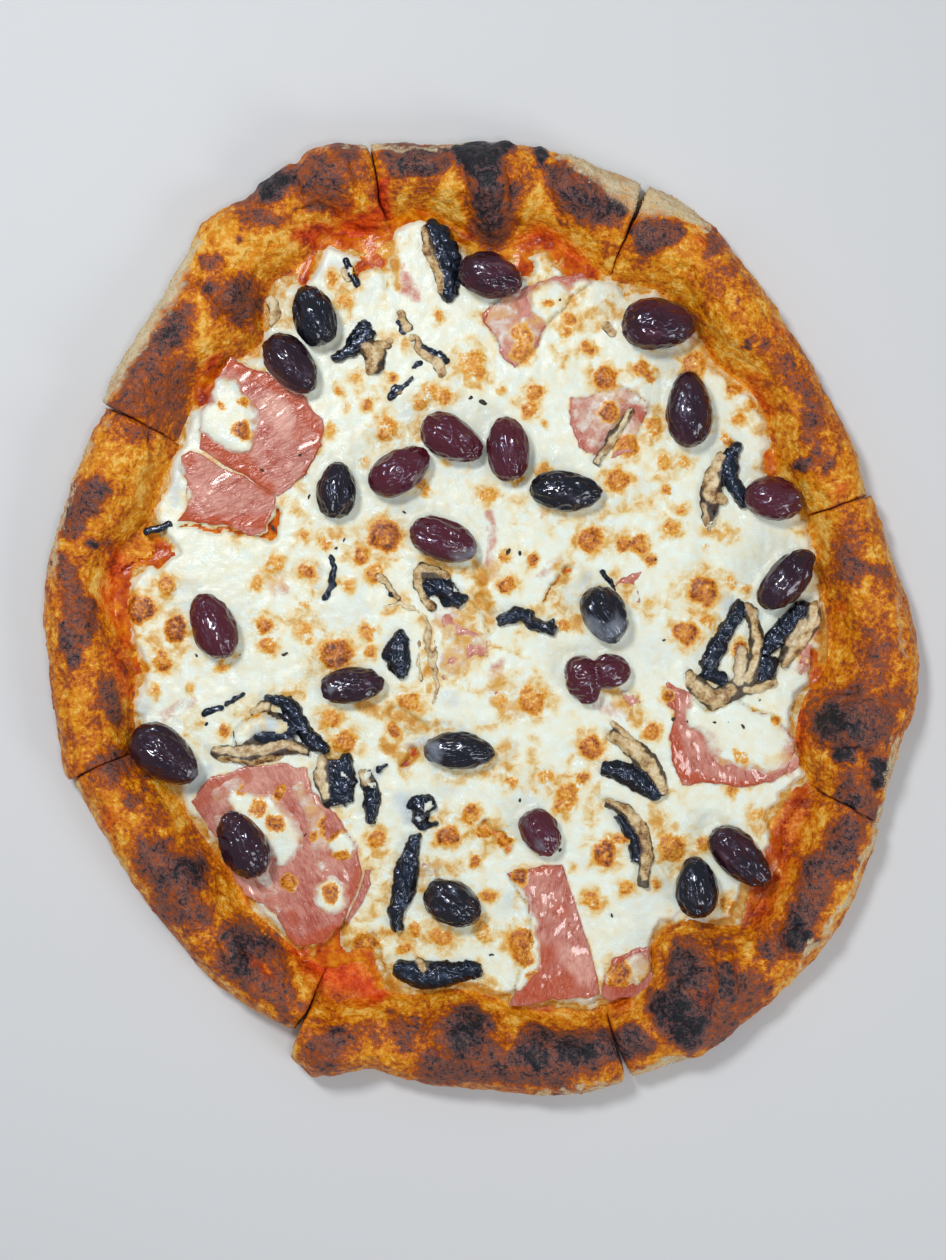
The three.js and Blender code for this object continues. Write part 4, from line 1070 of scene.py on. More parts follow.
def baked_mushroom():
    """Baked mushroom: the eye sees blue-black leathery gills that glint, tan cap streaked across
    with a dark outline, and straw-coloured flesh."""
    material, tree, shader = new_material("baked_mushroom")
    place = add_node(tree, "TexCoord", output="Object")
    cap, flesh, skin, plates = (
        add_node(tree, "Attribute", output="Fac", attribute_name=name)
        for name in ("cap", "flesh", "skin", "plates")
    )
    fine = add_node(tree, "TexNoise", Vector=place, Scale=1 / (0.9 * MM), Detail=4.0, Roughness=0.7)
    patch = add_node(tree, "TexNoise", Vector=place, Scale=1 / (3.2 * MM), Detail=3.0, Roughness=0.6)
    broad = add_node(tree, "TexNoise", Vector=place, Scale=1 / (14 * MM), Detail=3.0, Roughness=0.6)
    patchy = add_node(tree, "Math", patch, 0.65, operation="MULTIPLY")
    plated = add_node(tree, "Math", plates, 0.05, patchy, operation="MULTIPLY_ADD")
    grainy = add_node(tree, "Math", fine, 0.35, plated, operation="MULTIPLY_ADD")
    age = add_node(tree, "Math", broad, 0.5, operation="SUBTRACT")
    tone = add_node(tree, "Math", age, 0.6, grainy, operation="MULTIPLY_ADD")
    tan = add_node(tree, "ValToRGB", tone)
    shade_stops(tan, ((0.3, "#5a3a1e"), (0.4, "#9c7440"), (0.5, "#cdae78"), (0.62, "#ead8ae")))
    pale = add_node(tree, "Mix", add_node(tree, "MapRange", tone, 0.34, 0.6), "#a67c44", "#efdfb6",
                    data_type="RGBA")
    dark = add_node(tree, "Mix", add_node(tree, "MapRange", tone, 0.4, 0.62), "#05080d", "#182430",
                    data_type="RGBA")
    capped = add_node(tree, "Mix", cap, dark, tan, data_type="RGBA")
    sliced = add_node(tree, "Mix", flesh, capped, pale, data_type="RGBA")
    outline = add_node(tree, "Math", skin, 0.85, operation="MULTIPLY")
    colour = add_node(tree, "Mix", outline, sliced, "#1a110c", data_type="RGBA")
    bump = add_node(tree, "Bump", Height=tone, Strength=0.6, Distance=0.5 * MM)
    meat = add_node(tree, "Math", cap, flesh, operation="ADD")
    tree.links.new(colour, shader.inputs["Base Color"])
    tree.links.new(bump, shader.inputs["Normal"])
    tree.links.new(add_node(tree, "MapRange", meat, 0.0, 1.0, 0.24, 0.45), shader.inputs["Roughness"])
    tree.links.new(add_node(tree, "MapRange", meat, 0.0, 1.0, 0.5, 0.0), shader.inputs["Coat Weight"])
    shader.inputs["Coat Roughness"].default_value = 0.12
    shader.inputs["Specular Tint"].default_value = linear("#b8ccff")
    return material


mushroom_material = baked_mushroom()
mushrooms = []
for node, strokes in {**MUSHROOM_SLICES, **MUSHROOM_SCRAPS}.items():
    if node in MUSHROOM_SLICES:
        mushroom = copy_of(node, node.replace("mushroom", "mushroom_slice"))
    else:
        mushroom = new_piece(node.replace("scrap", "mushroom_scrap"))
    bpy.ops.object.mode_set(mode="EDIT")
    add_lumps(strokes)
    bpy.ops.object.mode_set(mode="OBJECT")
    tissue_of(mushroom, strokes)
    mushroom.data.materials.append(mushroom_material)
    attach(mushroom, "root")
    if node in MUSHROOM_SLICES:
        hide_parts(node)
    mushrooms.append(mushroom)


# ---- The ham scraps ----------------------------------------------------------------------------
# Shreds of the same cooked ham, sunk in the cheese, most of them glazed with orange oil.
# Each shred as strokes, in the same way as the mushrooms.
HAM_SCRAPS = {
    "ham_scrap_1": (
        ("ham", 0.5, ((446, 618, 8), (458, 634, 9), (474, 640, 11), (484, 652, 7))),
        ("ham", 0.4, ((470, 648, 9), (456, 664, 8), (444, 676, 5))),
    ),
    "ham_scrap_2": (("ham", 0.3, ((500, 668, 4), (494, 688, 7), (502, 706, 4))),),
    "ham_scrap_3": (
        ("ham", 0.7, ((618, 586, 5), (630, 580, 6), (641, 572, 3))),
        ("ham", 0.6, ((632, 588, 5), (638, 600, 3))),
    ),
    "ham_scrap_4": (("ham", 0.3, ((624, 692, 4), (634, 704, 7), (630, 718, 5))),),
    "ham_scrap_5": (("ham", 0.4, ((784, 748, 5), (794, 758, 8), (790, 774, 5))),),
    "ham_scrap_6": (("ham", 0.4, ((815, 630, 4), (806, 650, 6), (801, 672, 5))),),
    "ham_scrap_7": (("ham", 0.4, ((423, 866, 5), (432, 876, 5), (426, 886, 4))),),
}

scraps = []
for name, strokes in HAM_SCRAPS.items():
    scrap = new_piece(name)
    bpy.ops.object.mode_set(mode="EDIT")
    add_lumps(strokes)
    bpy.ops.object.mode_set(mode="OBJECT")
    apply_modifier(scrap, "REMESH", mode="VOXEL", voxel_size=HAM_VOXEL)
    apply_modifier(scrap, "SMOOTH", factor=0.5, iterations=3)
    points, normals = points_of(scrap)
    points += normals * (0.4 * lumps(points, 3 * MM, 2, 55))[:, None] * MM
    for axis, seed in ((0, 56), (1, 57)):
        points[:, axis] += 0.9 * MM * lumps(points, 4 * MM, 2, seed)
    move_points(scrap, points)
    bpy.ops.object.shade_smooth()
    paint(scrap, "flush", 0.2 + 0.5 * lumps(points, 4 * MM, 2, 58))
    paint(scrap, "pale", 0.7 + 0.6 * lumps(points, 3 * MM, 2, 59))
    paint(scrap, "grain", points)
    scrap.data.materials.append(ham_material)
    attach(scrap, "root")
    scraps.append(scrap)


# ---- The cheese --------------------------------------------------------------------------------
# Mozzarella, torn and strewn on the sauce. It has melted into one sheet that has run round the
# toppings and over parts of them, and has blistered brown where bubbles rose.
CHEESE_CELL = 0.78 * MM
CHEESE_DEPTH = 2.7                 # over the sauce, in millimetres
CHEESE_FLOOR = 4.2 * MM
# Browned blisters, in pixels of the photograph: x, y, radius, and how far browned.
BLISTERS = (
    (332, 279, 7, 0.6), (345, 303, 8, 0.35), (250, 345, 10, 0.6), (222, 407, 5, 0.45),
    (244, 403, 6, 0.45), (242, 430, 10, 0.85), (355, 375, 6, 0.45), (340, 390, 5, 0.4),
    (345, 405, 4, 0.3), (330, 430, 6, 0.35), (382, 250, 10, 0.45), (440, 318, 6, 0.6),
    (473, 365, 16, 0.4), (390, 378, 5, 0.6), (430, 393, 8, 0.45), (445, 397, 8, 0.55),
    (367, 405, 7, 0.6), (420, 403, 6, 0.45), (385, 430, 13, 0.5), (548, 303, 5, 0.55),
    (568, 318, 7, 0.6), (564, 332, 6, 0.55), (588, 348, 7, 0.55), (522, 336, 11, 0.6),
    (521, 352, 10, 0.65), (605, 377, 13, 0.75), (642, 370, 9, 0.6), (652, 376, 6, 0.55),
    (610, 412, 11, 0.75), (534, 392, 8, 0.6), (529, 408, 8, 0.6), (545, 423, 4, 0.4),
    (503, 390, 4, 0.35), (695, 365, 14, 0.55), (735, 390, 8, 0.6), (738, 418, 7, 0.5),
    (753, 405, 6, 0.5), (727, 440, 6, 0.6), (628, 448, 11, 0.65), (655, 425, 10, 0.5),
    (275, 565, 10, 0.4), (258, 583, 6, 0.35), (305, 572, 9, 0.65), (305, 535, 5, 0.45),
    (325, 545, 6, 0.5), (167, 587, 10, 0.6), (140, 610, 15, 0.85), (175, 630, 13, 0.8),
    (163, 660, 11, 0.65), (140, 665, 9, 0.5), (265, 625, 9, 0.65), (268, 645, 8, 0.6),
    (302, 632, 8, 0.45), (335, 655, 18, 0.8), (330, 718, 12, 0.5), (225, 730, 6, 0.6),
    (255, 712, 7, 0.4), (222, 665, 6, 0.4), (345, 742, 13, 0.6), (365, 463, 5, 0.35),
    (423, 487, 7, 0.5), (487, 495, 9, 0.45), (542, 470, 6, 0.45), (517, 478, 6, 0.5),
    (617, 480, 12, 0.6), (590, 540, 13, 0.7), (625, 543, 9, 0.65), (640, 543, 9, 0.7),
    (652, 558, 6, 0.65), (362, 555, 9, 0.65), (385, 536, 16, 0.85), (375, 573, 10, 0.5),
    (350, 585, 7, 0.45), (505, 557, 6, 0.5), (530, 562, 6, 0.65), (508, 585, 9, 0.7),
    (368, 634, 8, 0.6), (370, 650, 7, 0.55), (410, 702, 11, 0.55), (532, 700, 15, 0.55),
    (565, 625, 7, 0.55), (590, 747, 13, 0.75), (395, 730, 7, 0.75), (668, 490, 6, 0.55),
    (662, 463, 8, 0.45), (685, 463, 7, 0.35), (683, 510, 6, 0.35), (673, 528, 9, 0.4),
    (727, 533, 8, 0.25), (705, 547, 4, 0.45), (733, 582, 6, 0.35), (703, 590, 16, 0.8),
    (745, 590, 5, 0.4), (685, 632, 13, 0.75), (708, 622, 8, 0.4), (740, 650, 10, 0.75),
    (650, 732, 8, 0.65), (668, 695, 7, 0.7), (775, 720, 7, 0.55), (280, 793, 9, 0.65),
    (258, 807, 10, 0.6), (275, 822, 10, 0.7), (215, 803, 6, 0.5), (330, 827, 14, 0.75),
    (343, 860, 8, 0.7), (290, 882, 10, 0.75), (331, 893, 9, 0.75), (243, 790, 5, 0.5),
    (313, 838, 5, 0.55), (262, 868, 4, 0.5), (232, 822, 5, 0.5), (583, 778, 7, 0.6),
    (513, 782, 6, 0.55), (568, 792, 12, 0.6), (563, 808, 8, 0.55), (547, 778, 7, 0.5),
    (470, 815, 10, 0.6), (447, 837, 11, 0.8), (485, 832, 8, 0.6), (503, 842, 8, 0.75),
    (475, 862, 8, 0.6), (605, 853, 13, 0.85), (622, 840, 6, 0.6), (626, 887, 8, 0.55),
    (592, 900, 9, 0.6), (521, 877, 8, 0.75), (520, 940, 14, 0.65), (524, 956, 10, 0.65),
    (532, 976, 6, 0.55), (488, 895, 7, 0.6), (415, 930, 9, 0.6), (440, 938, 11, 0.6),
    (405, 948, 7, 0.5), (482, 930, 10, 0.4), (365, 945, 14, 0.6), (378, 840, 9, 0.65),
    (740, 757, 8, 0.35), (730, 790, 7, 0.4), (757, 815, 8, 0.4), (672, 848, 16, 0.6),
    (703, 845, 8, 0.5), (655, 885, 6, 0.5), (730, 905, 10, 0.5), (620, 968, 12, 0.7),
    (618, 985, 11, 0.65), (310, 640, 5, 0.4), (285, 700, 5, 0.3), (190, 690, 5, 0.3),
    (155, 690, 6, 0.35), (560, 880, 4, 0.2), (500, 700, 8, 0.35), (490, 760, 8, 0.35),
    (305, 605, 6, 0.3), (650, 600, 5, 0.2),
)
# Cheese gone thin, oily and orange.
OILY = (
    (0.9, ((390, 240, 5), (394, 262, 5), (398, 285, 4))), (0.6, ((345, 290, 12), (375, 270, 9))),
    (0.8, ((350, 702, 7), (385, 712, 8), (420, 728, 9), (440, 722, 5))),
    (0.8, ((385, 745, 9), (405, 760, 9))), (0.6, ((340, 745, 16), (330, 725, 14))),
    (0.5, ((440, 778, 9), (490, 775, 8))), (0.5, ((505, 750, 12), (515, 790, 12))),
    (0.5, ((535, 740, 7), (535, 790, 8))), (0.8, ((430, 560, 9), (455, 568, 8), (470, 570, 6))),
    (0.7, ((474, 562, 6), (482, 585, 9), (488, 610, 11), (490, 628, 7))),
    (0.7, ((475, 600, 14), (460, 622, 9))), (0.6, ((455, 630, 20), (475, 655, 16))),
    (0.7, ((492, 642, 3), (520, 660, 3), (556, 656, 3))),
    (0.5, ((500, 690, 14), (540, 700, 18), (480, 720, 12))), (0.6, ((425, 620, 6), (430, 690, 6))),
    (0.6, ((405, 600, 10), (385, 610, 7))), (0.6, ((365, 530, 9), (400, 555, 8), (350, 555, 10))),
    (0.6, ((330, 640, 12), (320, 665, 10))), (0.5, ((150, 640, 12), (135, 640, 9), (190, 650, 8))),
    (0.5, ((250, 590, 9), (250, 610, 8))), (0.5, ((305, 520, 9), (285, 500, 7))),
    (0.4, ((300, 540, 9), (330, 530, 9))), (0.7, ((610, 700, 12), (630, 700, 10), (640, 720, 9))),
    (0.6, ((625, 590, 10), (615, 575, 7))), (0.6, ((555, 785, 14), (575, 800, 12))),
    (0.6, ((470, 835, 12), (500, 830, 12), (480, 860, 8))), (0.5, ((445, 815, 9), (430, 830, 9))),
    (0.7, ((420, 940, 14), (450, 945, 9), (380, 935, 9))),
    (0.8, ((345, 935, 14), (380, 965, 14), (395, 985, 9))), (0.6, ((490, 985, 10), (450, 992, 9))),
    (0.6, ((655, 815, 12), (680, 840, 18), (700, 850, 10))), (0.5, ((600, 790, 7), (590, 820, 9))),
    (0.5, ((640, 440, 14), (655, 410, 9))), (0.5, ((750, 400, 12), (760, 430, 9))),
    (0.6, ((700, 350, 9), (740, 380, 9))), (0.4, ((660, 470, 14), (670, 520, 12))),
    (0.4, ((470, 350, 12), (450, 370, 9))), (0.4, ((560, 340, 9), (560, 370, 6))),
    (0.4, ((525, 400, 14),)), (0.7, ((795, 790, 9), (775, 830, 8))),
    (0.6, ((395, 335, 9), (410, 350, 8))), (0.6, ((375, 825, 9), (385, 850, 7), (365, 870, 6))),
    (0.5, ((250, 700, 8), (235, 712, 7))), (0.6, ((815, 520, 7),)),
    (0.7, ((170, 812, 8), (190, 825, 7))), (0.5, ((570, 560, 9), (555, 600, 8))),
    (0.5, ((745, 930, 8), (720, 925, 8))), (0.7, ((585, 290, 5), (570, 300, 4))),
    (0.5, ((270, 270, 8), (280, 300, 6))), (0.5, ((270, 345, 8),)),
)
# Cheese that lies thick and clean.
CLEAN = (
    ((195, 560, 30), (235, 600, 24), (215, 545, 20)), ((425, 515, 30),),
    ((645, 915, 24), (628, 945, 20)), ((760, 545, 30), (800, 560, 16)),
    ((540, 650, 20), (580, 655, 22)), ((455, 706, 20), (480, 712, 14)),
    ((556, 752, 14), (556, 770, 10)), ((600, 708, 16), (585, 695, 14)), ((515, 800, 12),),
    ((160, 700, 22),), ((350, 610, 12),), ((640, 560, 16),), ((590, 400, 8),),
    ((700, 470, 12), (745, 470, 9)), ((660, 660, 20),), ((620, 800, 10),), ((730, 850, 10),),
    ((480, 900, 10),), ((460, 300, 12),), ((500, 345, 9),), ((400, 700, 8),), ((300, 600, 9),),
    ((700, 920, 14),), ((560, 460, 12),), ((730, 480, 16),), ((570, 940, 8),),
)
# Where ham or tomato under thin cheese tints it pink.
ROSY = (
    (0.6, ((474, 565, 5), (483, 590, 8), (489, 618, 9))),
    (0.8, ((405, 280, 7), (415, 295, 7))), (0.5, ((400, 265, 5),)),
    (0.8, ((450, 620, 14), (470, 645, 14), (450, 665, 12))),
    (0.7, ((490, 515, 4), (492, 545, 5), (490, 575, 6))),
    (0.6, ((500, 665, 7), (495, 700, 8), (520, 712, 8))), (0.6, ((545, 505, 5), (540, 515, 3))),
    (0.8, ((690, 340, 4), (715, 362, 4), (745, 385, 4))), (0.6, ((620, 400, 18), (640, 415, 9))),
    (0.6, ((790, 745, 8), (790, 770, 8))), (0.6, ((810, 640, 7), (800, 670, 7))),
    (0.7, ((427, 872, 7), (440, 866, 5))), (0.6, ((600, 705, 7), (628, 715, 7))),
    (0.5, ((400, 755, 9), (420, 745, 6))), (0.5, ((565, 275, 9), (590, 280, 6))),
    (0.5, ((700, 740, 14), (690, 765, 10))), (0.5, ((640, 960, 9), (648, 985, 7))),
    (0.5, ((270, 560, 9), (280, 590, 8))), (0.4, ((370, 545, 12),)), (0.4, ((270, 630, 8),)),
    (0.5, ((375, 980, 8),)), (0.5, ((190, 700, 6), (165, 715, 6))),
    (0.5, ((540, 580, 5), (560, 560, 4))), (0.6, ((360, 870, 7), (350, 900, 6))),
)
# Bluish milky films over something dark.
MILKY = (
    (0.8, ((255, 735, 7), (275, 722, 8), (262, 715, 6))), (0.6, ((725, 598, 8), (735, 612, 6))),
    (0.6, ((318, 570, 6), (316, 585, 5))), (0.5, ((590, 575, 5), (578, 600, 4))),
    (0.6, ((375, 775, 7),)), (0.5, ((450, 585, 5), (460, 590, 5))),
    (0.6, ((195, 785, 7), (205, 770, 6))), (0.5, ((618, 820, 6), (628, 835, 5))),
    (0.6, ((425, 740, 5), (430, 758, 5))), (0.6, ((760, 615, 6),)),
    (0.7, ((400, 800, 9), (410, 820, 8), (425, 818, 6))), (0.5, ((320, 275, 8), (342, 262, 5))),
    (0.5, ((505, 760, 6), (512, 745, 6))), (0.5, ((700, 330, 6), (705, 345, 6))),
    (0.5, ((655, 350, 9), (680, 355, 7))), (0.5, ((180, 470, 7), (175, 500, 6))),
    (0.4, ((450, 700, 9),)), (0.4, ((145, 705, 8),)), (0.5, ((510, 900, 9),)),
)
# Cheese that has run over ham: how thickly, in millimetres.
HAM_VEILS = (
    (1.6, ((225, 392, 14), (235, 420, 20), (215, 420, 16), (240, 442, 11))),
    (1.0, ((176, 470, 9), (184, 500, 7))),
    (1.0, ((235, 800, 9), (262, 812, 18), (285, 838, 18), (283, 855, 10))), (1.2, ((331, 895, 16),)),
    (0.3, ((222, 792, 8), (240, 782, 7))), (0.3, ((300, 790, 8), (316, 815, 8), (322, 865, 8))),
    (0.3, ((262, 880, 10), (275, 905, 9))), (0.3, ((235, 850, 6),)),
    (1.2, ((343, 845, 14),)), (0.6, ((222, 822, 8),)), (0.8, ((290, 882, 9),)), (0.8, ((281, 793, 7),)),
    (1.5, ((510, 895, 14), (518, 930, 17), (524, 960, 13), (515, 985, 7))), (0.7, ((521, 877, 8),)),
    (1.4, ((715, 705, 26), (735, 730, 30), (765, 745, 26), (700, 715, 12))),
    (1.2, ((775, 715, 16), (790, 700, 12))), (0.8, ((668, 695, 7),)),
    (1.3, ((548, 300, 17), (570, 320, 22), (560, 352, 18), (585, 290, 12))),
    (0.35, ((505, 305, 16), (500, 335, 16), (530, 330, 14))), (0.9, ((522, 336, 11), (521, 352, 11))),
    (0.9, ((600, 385, 16), (635, 385, 16), (650, 400, 12))),
    (0.35, ((585, 405, 18), (600, 440, 18), (630, 430, 16))), (0.8, ((610, 412, 12),)),
    (0.8, ((636, 965, 12), (645, 990, 8))), (0.7, ((620, 975, 14),)),
)
# The same over mushrooms.
MUSHROOM_VEILS = (
    (0.5, ((429, 806, 5),)), (0.4, ((411, 812, 4),)), (0.4, ((372, 785, 4),)), (0.3, ((345, 775, 5),)),
    (0.8, ((240, 740, 7), (248, 728, 10), (262, 722, 10), (280, 728, 7))), (0.5, ((728, 600, 7),)),
    (0.5, ((366, 775, 5),)), (0.5, ((422, 818, 4),)), (0.6, ((614, 826, 5), (625, 845, 4))),
    (0.5, ((455, 590, 4),)), (0.4, ((432, 640, 5),)), (0.4, ((405, 352, 5),)), (0.4, ((385, 590, 4),)),
    (0.4, ((150, 530, 4),)), (0.4, ((714, 520, 5),)), (0.4, ((352, 270, 4),)),
)


def baked_mozzarella():
    """Melted mozzarella, soft and oily: the eye sees cool cream white, with orange oil where it
    is thin, and grainy yellow to brown on its blisters."""
    material, tree, shader = new_material("baked_mozzarella")
    place = add_node(tree, "TexCoord", output="Object")
    brown, oily, rosy, milky = (
        add_node(tree, "Attribute", output="Fac", attribute_name=name)
        for name in ("brown", "oily", "rosy", "milky")
    )
    fine = add_node(tree, "TexNoise", Vector=place, Scale=1 / (1.0 * MM), Detail=4.0, Roughness=0.75)
    patch = add_node(tree, "TexNoise", Vector=place, Scale=1 / (4.0 * MM), Detail=4.0, Roughness=0.65)
    marble = add_node(tree, "TexNoise", Vector=place, Scale=1 / (4.0 * MM), Detail=3.0, Roughness=0.55,
                      Distortion=0.6)
    both = add_node(tree, "Math", fine, patch, operation="ADD")
    speck = add_node(tree, "Math", both, 1.0, operation="SUBTRACT")
    vein = add_node(tree, "Math", marble, 0.5, operation="SUBTRACT")
    veined = add_node(tree, "Math", vein, 1.5, operation="MULTIPLY")
    streak = add_node(tree, "Math", speck, 0.4, veined, operation="MULTIPLY_ADD")
    browned, oiled, rosed = (
        add_node(tree, "Math", swirl, add_node(tree, "MapRange", value, 0.0, 0.35, 0.0, 1.3), value,
                 operation="MULTIPLY_ADD")
        for value, swirl in ((brown, speck), (oily, streak), (rosy, streak))
    )
    white = add_node(tree, "Mix", add_node(tree, "MapRange", patch, 0.36, 0.72), "#eef8ee", "#efe9cb",
                     data_type="RGBA")
    cool = add_node(tree, "Mix", milky, white, "#bfced8", data_type="RGBA")
    pink = add_node(tree, "Mix", add_node(tree, "MapRange", rosed, 0.1, 1.1), cool, "#c47460",
                    data_type="RGBA")
    oil = add_node(tree, "Mix", add_node(tree, "MapRange", oiled, 0.3, 1.1), "#f0cf74", "#cf8a1e",
                   data_type="RGBA")
    soaked = add_node(tree, "Mix", add_node(tree, "MapRange", oiled, 0.06, 0.78), pink, oil,
                      data_type="RGBA")
    toasted = add_node(tree, "ValToRGB", browned)
    shade_stops(toasted, (
        (0.0, "#f4d894"), (0.2, "#f0bc54"), (0.45, "#e39a26"), (0.66, "#cb7416"), (0.84, "#a04e12"),
        (1.0, "#5e2e14"),
    ))
    colour = add_node(tree, "Mix", add_node(tree, "MapRange", browned, 0.04, 0.3), soaked, toasted,
                      data_type="RGBA")
    relief = add_node(tree, "Math", fine, 0.5, patch, operation="MULTIPLY_ADD")
    rippled = add_node(tree, "MapRange", oily, 0.1, 0.8, 0.5, 0.95)
    bump = add_node(tree, "Bump", Height=relief, Strength=rippled, Distance=0.5 * MM)
    sheen = add_node(tree, "MapRange", patch, 0.38, 0.6, 0.12, 0.35)
    tree.links.new(colour, shader.inputs["Base Color"])
    tree.links.new(sheen, shader.inputs["Roughness"])
    tree.links.new(bump, shader.inputs["Normal"])
    shader.inputs["Subsurface Weight"].default_value = 0.12
    shader.inputs["Subsurface Radius"].default_value = (1.2 * MM, 1.0 * MM, 0.7 * MM)
    shader.inputs["Subsurface Scale"].default_value = 1.0
    return material


cheese = flat_sheet("mozzarella", CHEESE_CELL)
points, _ = points_of(cheese)
inward = from_edge(points)
keep = spread((inward > -4 * MM).astype(float), 2) > 0.5
pixels = seen(points + (0, 0, CHEESE_TOP))
ragged = stray(pixels, points, 3.5, 4 * MM, 3, 21)
edge = inward / MM + 2.4 * lumps(points, 9 * MM, 3, 23) + 0.6 * lumps(points, 2 * MM, 2, 50)
film = CHEESE_DEPTH + 0.55 * lumps(points, 15 * MM, 2, 24) + 0.28 * lumps(points, 4 * MM, 2, 25)
film += 0.12 * (1 - 2 * np.abs(lumps(points, 2.6 * MM, 1, 51)))
film = np.minimum(film, 1.3 * edge + 0.6)
for level, path in POOLS:
    film -= (film + 0.7) * level * smooth(-0.35, 0.35, depth_in(ragged, path))
brown = np.zeros(len(points))
halo = np.zeros(len(points))
swell = np.zeros(len(points))
for x, y, radius, level in BLISTERS:
    depth = depth_in(ragged, ((x, y, radius),))
    crater = 0.2 * smooth(0.35, 0.9, depth) * (radius > 7)
    brown = np.maximum(brown, level * (smooth(-0.2, 0.35, depth) - crater))
    halo = np.maximum(halo, 0.55 * smooth(-0.8, 0.3, depth_in(ragged, ((x, y, 1.3 * radius),))))
    swell = np.maximum(swell, smooth(0.0, 0.5, depth_in(pixels, ((x, y, radius),))) * min(radius, 12) / 12)
film += 0.9 * swell + 0.4 * brown * lumps(points, 2 * MM, 2, 26)

ground = np.full(len(points), DOUGH_TOP)
ground[keep] = dough_under(points[keep])
top = ground / MM + SAUCE_FILM + film
ham_top = height_of(hams, points, 0.0) / MM
mushroom_top = height_of(mushrooms, points, 0.0) / MM
olive_top = height_of(olives, points, 0.0) / MM
scrap_top = height_of(scraps, points, 0.0) / MM
bare = 0.15 * lumps(points, 5 * MM, 2, 27) - 0.7
veil, cover = bare.copy(), bare.copy()
for found, veils in ((veil, HAM_VEILS), (cover, MUSHROOM_VEILS)):
    for thickness, path in veils:
        share = smooth(-0.6, 0.5, depth_in(ragged, path))
        found[:] = np.maximum(found, thickness * share - 0.7 * (1 - share))
over_ham = ham_top > 0
top = np.where(over_ham, ham_top + veil + 0.1 * lumps(points, 2.4 * MM, 2, 52), top)
top = np.where(scrap_top > top, scrap_top + 0.05 + 0.5 * lumps(points, 3.5 * MM, 2, 61), top)
top = np.where((mushroom_top > top) & (cover > 0), mushroom_top + cover, top)
close = np.clip(2.2 * spread(spread((olive_top > 0).astype(float), 2), 2), 0, 1)
top += 0.9 * close ** 2 * (film > 0.5)
top = np.where(olive_top > 0, np.minimum(top, olive_top - 1.0), top)
top -= 3 * ((from_cuts(points) < 1 * MM) & (film < 0))
points[:, 2] = np.maximum(top * MM, CHEESE_FLOOR + 0.05 * MM)
move_points(cheese, points)

oily = 0.8 * smooth(0.9, -0.1, film) + 0.5 * smooth(0, 0.7, lumps(points, 13 * MM, 4, 28))
oily = brush(ragged, OILY, -0.6, 0.7, oily)
near_ham = spread(spread(over_ham.astype(float), 3), 2)
rimmed = 0.6 * smooth(0.2, 0.7, near_ham + 0.2 * lumps(points, 5 * MM, 2, 53))
oily = np.maximum(oily, rimmed * (~over_ham))
for path in CLEAN:
    oily *= 1 - smooth(-0.3, 0.5, depth_in(ragged, path))
oily = np.maximum(oily * (1 - 0.5 * over_ham), halo * (1 - 0.7 * over_ham))
rosy = 0.9 * over_ham * smooth(1.2, 0.1, veil)
milky = 0.2 * smooth(0.2, 0.8, lumps(points, 14 * MM, 2, 29))
paint(cheese, "brown", brown)
paint(cheese, "oily", np.clip(oily, 0, 1))
paint(cheese, "rosy", brush(ragged, ROSY, -0.6, 0.6, rosy))
paint(cheese, "milky", np.clip(brush(ragged, MILKY, -0.5, 0.6, milky), 0, 1))
cut_out(cheese, keep, CHEESE_FLOOR)
bpy.ops.object.shade_smooth()
cheese.data.materials.append(baked_mozzarella())
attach(cheese, "root")
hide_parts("cheese")


# ---- The herbs ---------------------------------------------------------------------------------
# Flakes of dried oregano and ground pepper, strewn before baking and now nearly black: thin
# crumpled chips, half sunk in the cheese.
HERB_THICKNESS = 0.35 * MM
# Each flake's x and y, its longest half and its turn in degrees, in pixels of the photograph.
HERBS = (
    (285, 654, 3.2, 20), (309, 497, 2.6, 70), (273, 528, 3.0, 110), (508, 552, 3.4, 60),
    (492, 955, 2.8, 0), (305, 835, 2.4, 45), (483, 402, 4.6, 160), (674, 719, 2.4, 30),
    (687, 722, 1.8, 80), (714, 722, 2.2, 0), (728, 722, 1.6, 50), (742, 726, 2.6, 130),
    (470, 398, 2.8, 30), (344, 540, 2.4, 75), (336, 548, 1.8, 20), (404, 512, 1.8, 140),
    (520, 553, 2.2, 90), (664, 640, 2.0, 15), (560, 850, 2.0, 60), (612, 915, 2.2, 100),
    (240, 655, 1.8, 45), (196, 655, 2.0, 120), (430, 760, 2.0, 10), (520, 800, 1.8, 85),
    (655, 560, 1.6, 35), (700, 430, 2.0, 95), (300, 455, 1.8, 10), (560, 300, 1.6, 60),
    (262, 470, 1.8, 145), (760, 700, 1.8, 70),
)


def dried_herb():
    """Dried, baked herb: the eye sees black flecks with a trace of brown green."""
    material, tree, shader = new_material("dried_oregano")
    place = add_node(tree, "TexCoord", output="Object")
    vein = add_node(tree, "TexNoise", Vector=place, Scale=1 / (0.6 * MM), Detail=3.0, Roughness=0.6)
    colour = add_node(tree, "Mix", add_node(tree, "MapRange", vein, 0.35, 0.65), "#12110d", "#3c3420",
                      data_type="RGBA")
    tree.links.new(colour, shader.inputs["Base Color"])
    shader.inputs["Roughness"].default_value = 0.6
    return material


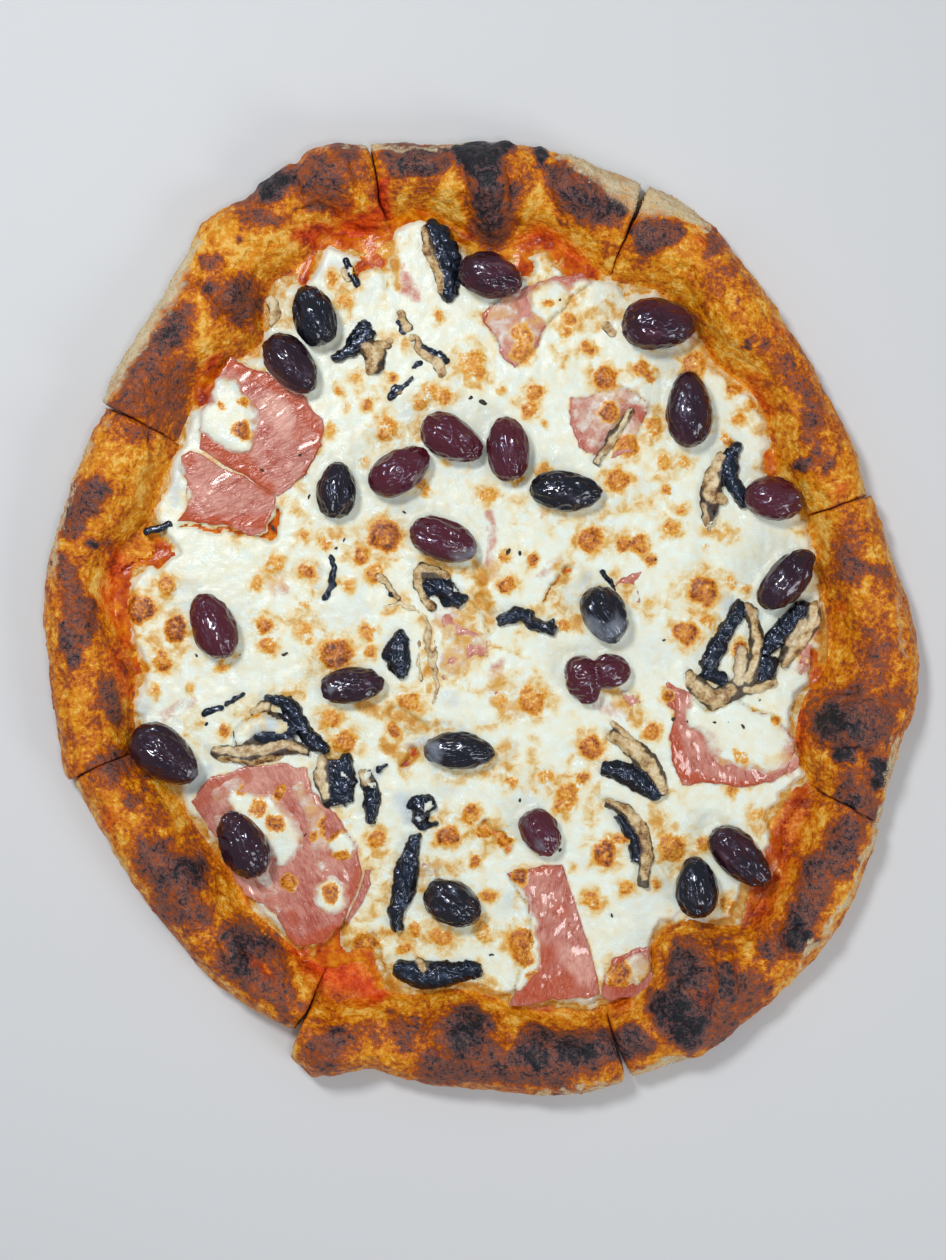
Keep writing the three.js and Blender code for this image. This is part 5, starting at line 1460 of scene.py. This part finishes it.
herbs = new_piece("dried_herb_flakes")
spots = np.array([(*place_of(flake), 0) for flake in HERBS])
heights = height_of([cheese] + hams, spots, CHEESE_TOP)
bpy.ops.object.mode_set(mode="EDIT")
for spot, height, (_, _, half, turn) in zip(spots, heights, HERBS):
    bpy.ops.mesh.primitive_ico_sphere_add(
        subdivisions=2, radius=1, location=(spot[0], spot[1], height + 0.1 * MM),
        scale=(half * PIXEL, 0.5 * half * PIXEL, HERB_THICKNESS), rotation=(0.15, -0.1, np.radians(turn)))
bpy.ops.object.mode_set(mode="OBJECT")
points, normals = points_of(herbs)
move_points(herbs, points + normals * (0.35 * lumps(points, 0.9 * MM, 2, 60))[:, None] * MM)
herbs.data.materials.append(dried_herb())
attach(herbs, "root")


# ---- The flour ---------------------------------------------------------------------------------
# Coarse grains of semolina that the dough was rolled out on. They still stick to its outer edge,
# about half a millimetre across, pale and dry.
GRAIN_SIZE = 0.27 * MM             # half a grain
GRAIN_COUNT = 260                  # on each slice


def semolina():
    """Toasted semolina: the eye sees cream grains, some of them browned."""
    material, tree, shader = new_material("semolina_flour")
    place = add_node(tree, "TexCoord", output="Object")
    toast = add_node(tree, "TexNoise", Vector=place, Scale=1 / (3 * MM), Detail=3.0, Roughness=0.6)
    colour = add_node(tree, "Mix", add_node(tree, "MapRange", toast, 0.4, 0.65), "#e6d9b8", "#b98c50",
                      data_type="RGBA")
    tree.links.new(colour, shader.inputs["Base Color"])
    shader.inputs["Roughness"].default_value = 0.8
    return material


bpy.ops.object.select_all(action="DESELECT")
bpy.ops.mesh.primitive_ico_sphere_add(subdivisions=1, radius=GRAIN_SIZE)
flour = bpy.context.object
flour.name = "semolina_grains"
shape, _ = points_of(flour)
sides = np.array([face.vertices for face in flour.data.polygons])
chance = np.random.default_rng(5)
grains = []
for crust in crusts:
    points, normals = points_of(crust)
    level = np.empty(len(points), np.float32)
    crust.data.attributes["flour"].data.foreach_get("value", level)
    level *= points[:, 2] > 1.5 * MM
    picked = chance.choice(len(points), GRAIN_COUNT, replace=False, p=level / level.sum())
    for at in picked:
        form = shape * chance.uniform(0.6, 1.25, 3)
        grains.append(form + points[at] + normals[at] * 0.12 * MM)
count = len(grains)
corners = np.clip(np.concatenate(grains), np.array(cad_box[0]), np.array(cad_box[1]))
faces = (sides[None] + len(shape) * np.arange(count)[:, None, None]).reshape(-1, 3)
mesh = bpy.data.meshes.new("semolina_grains")
mesh.from_pydata(corners.tolist(), [], faces.tolist())
flour.data = mesh
bpy.ops.object.shade_smooth()
flour.data.materials.append(semolina())
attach(flour, "root")
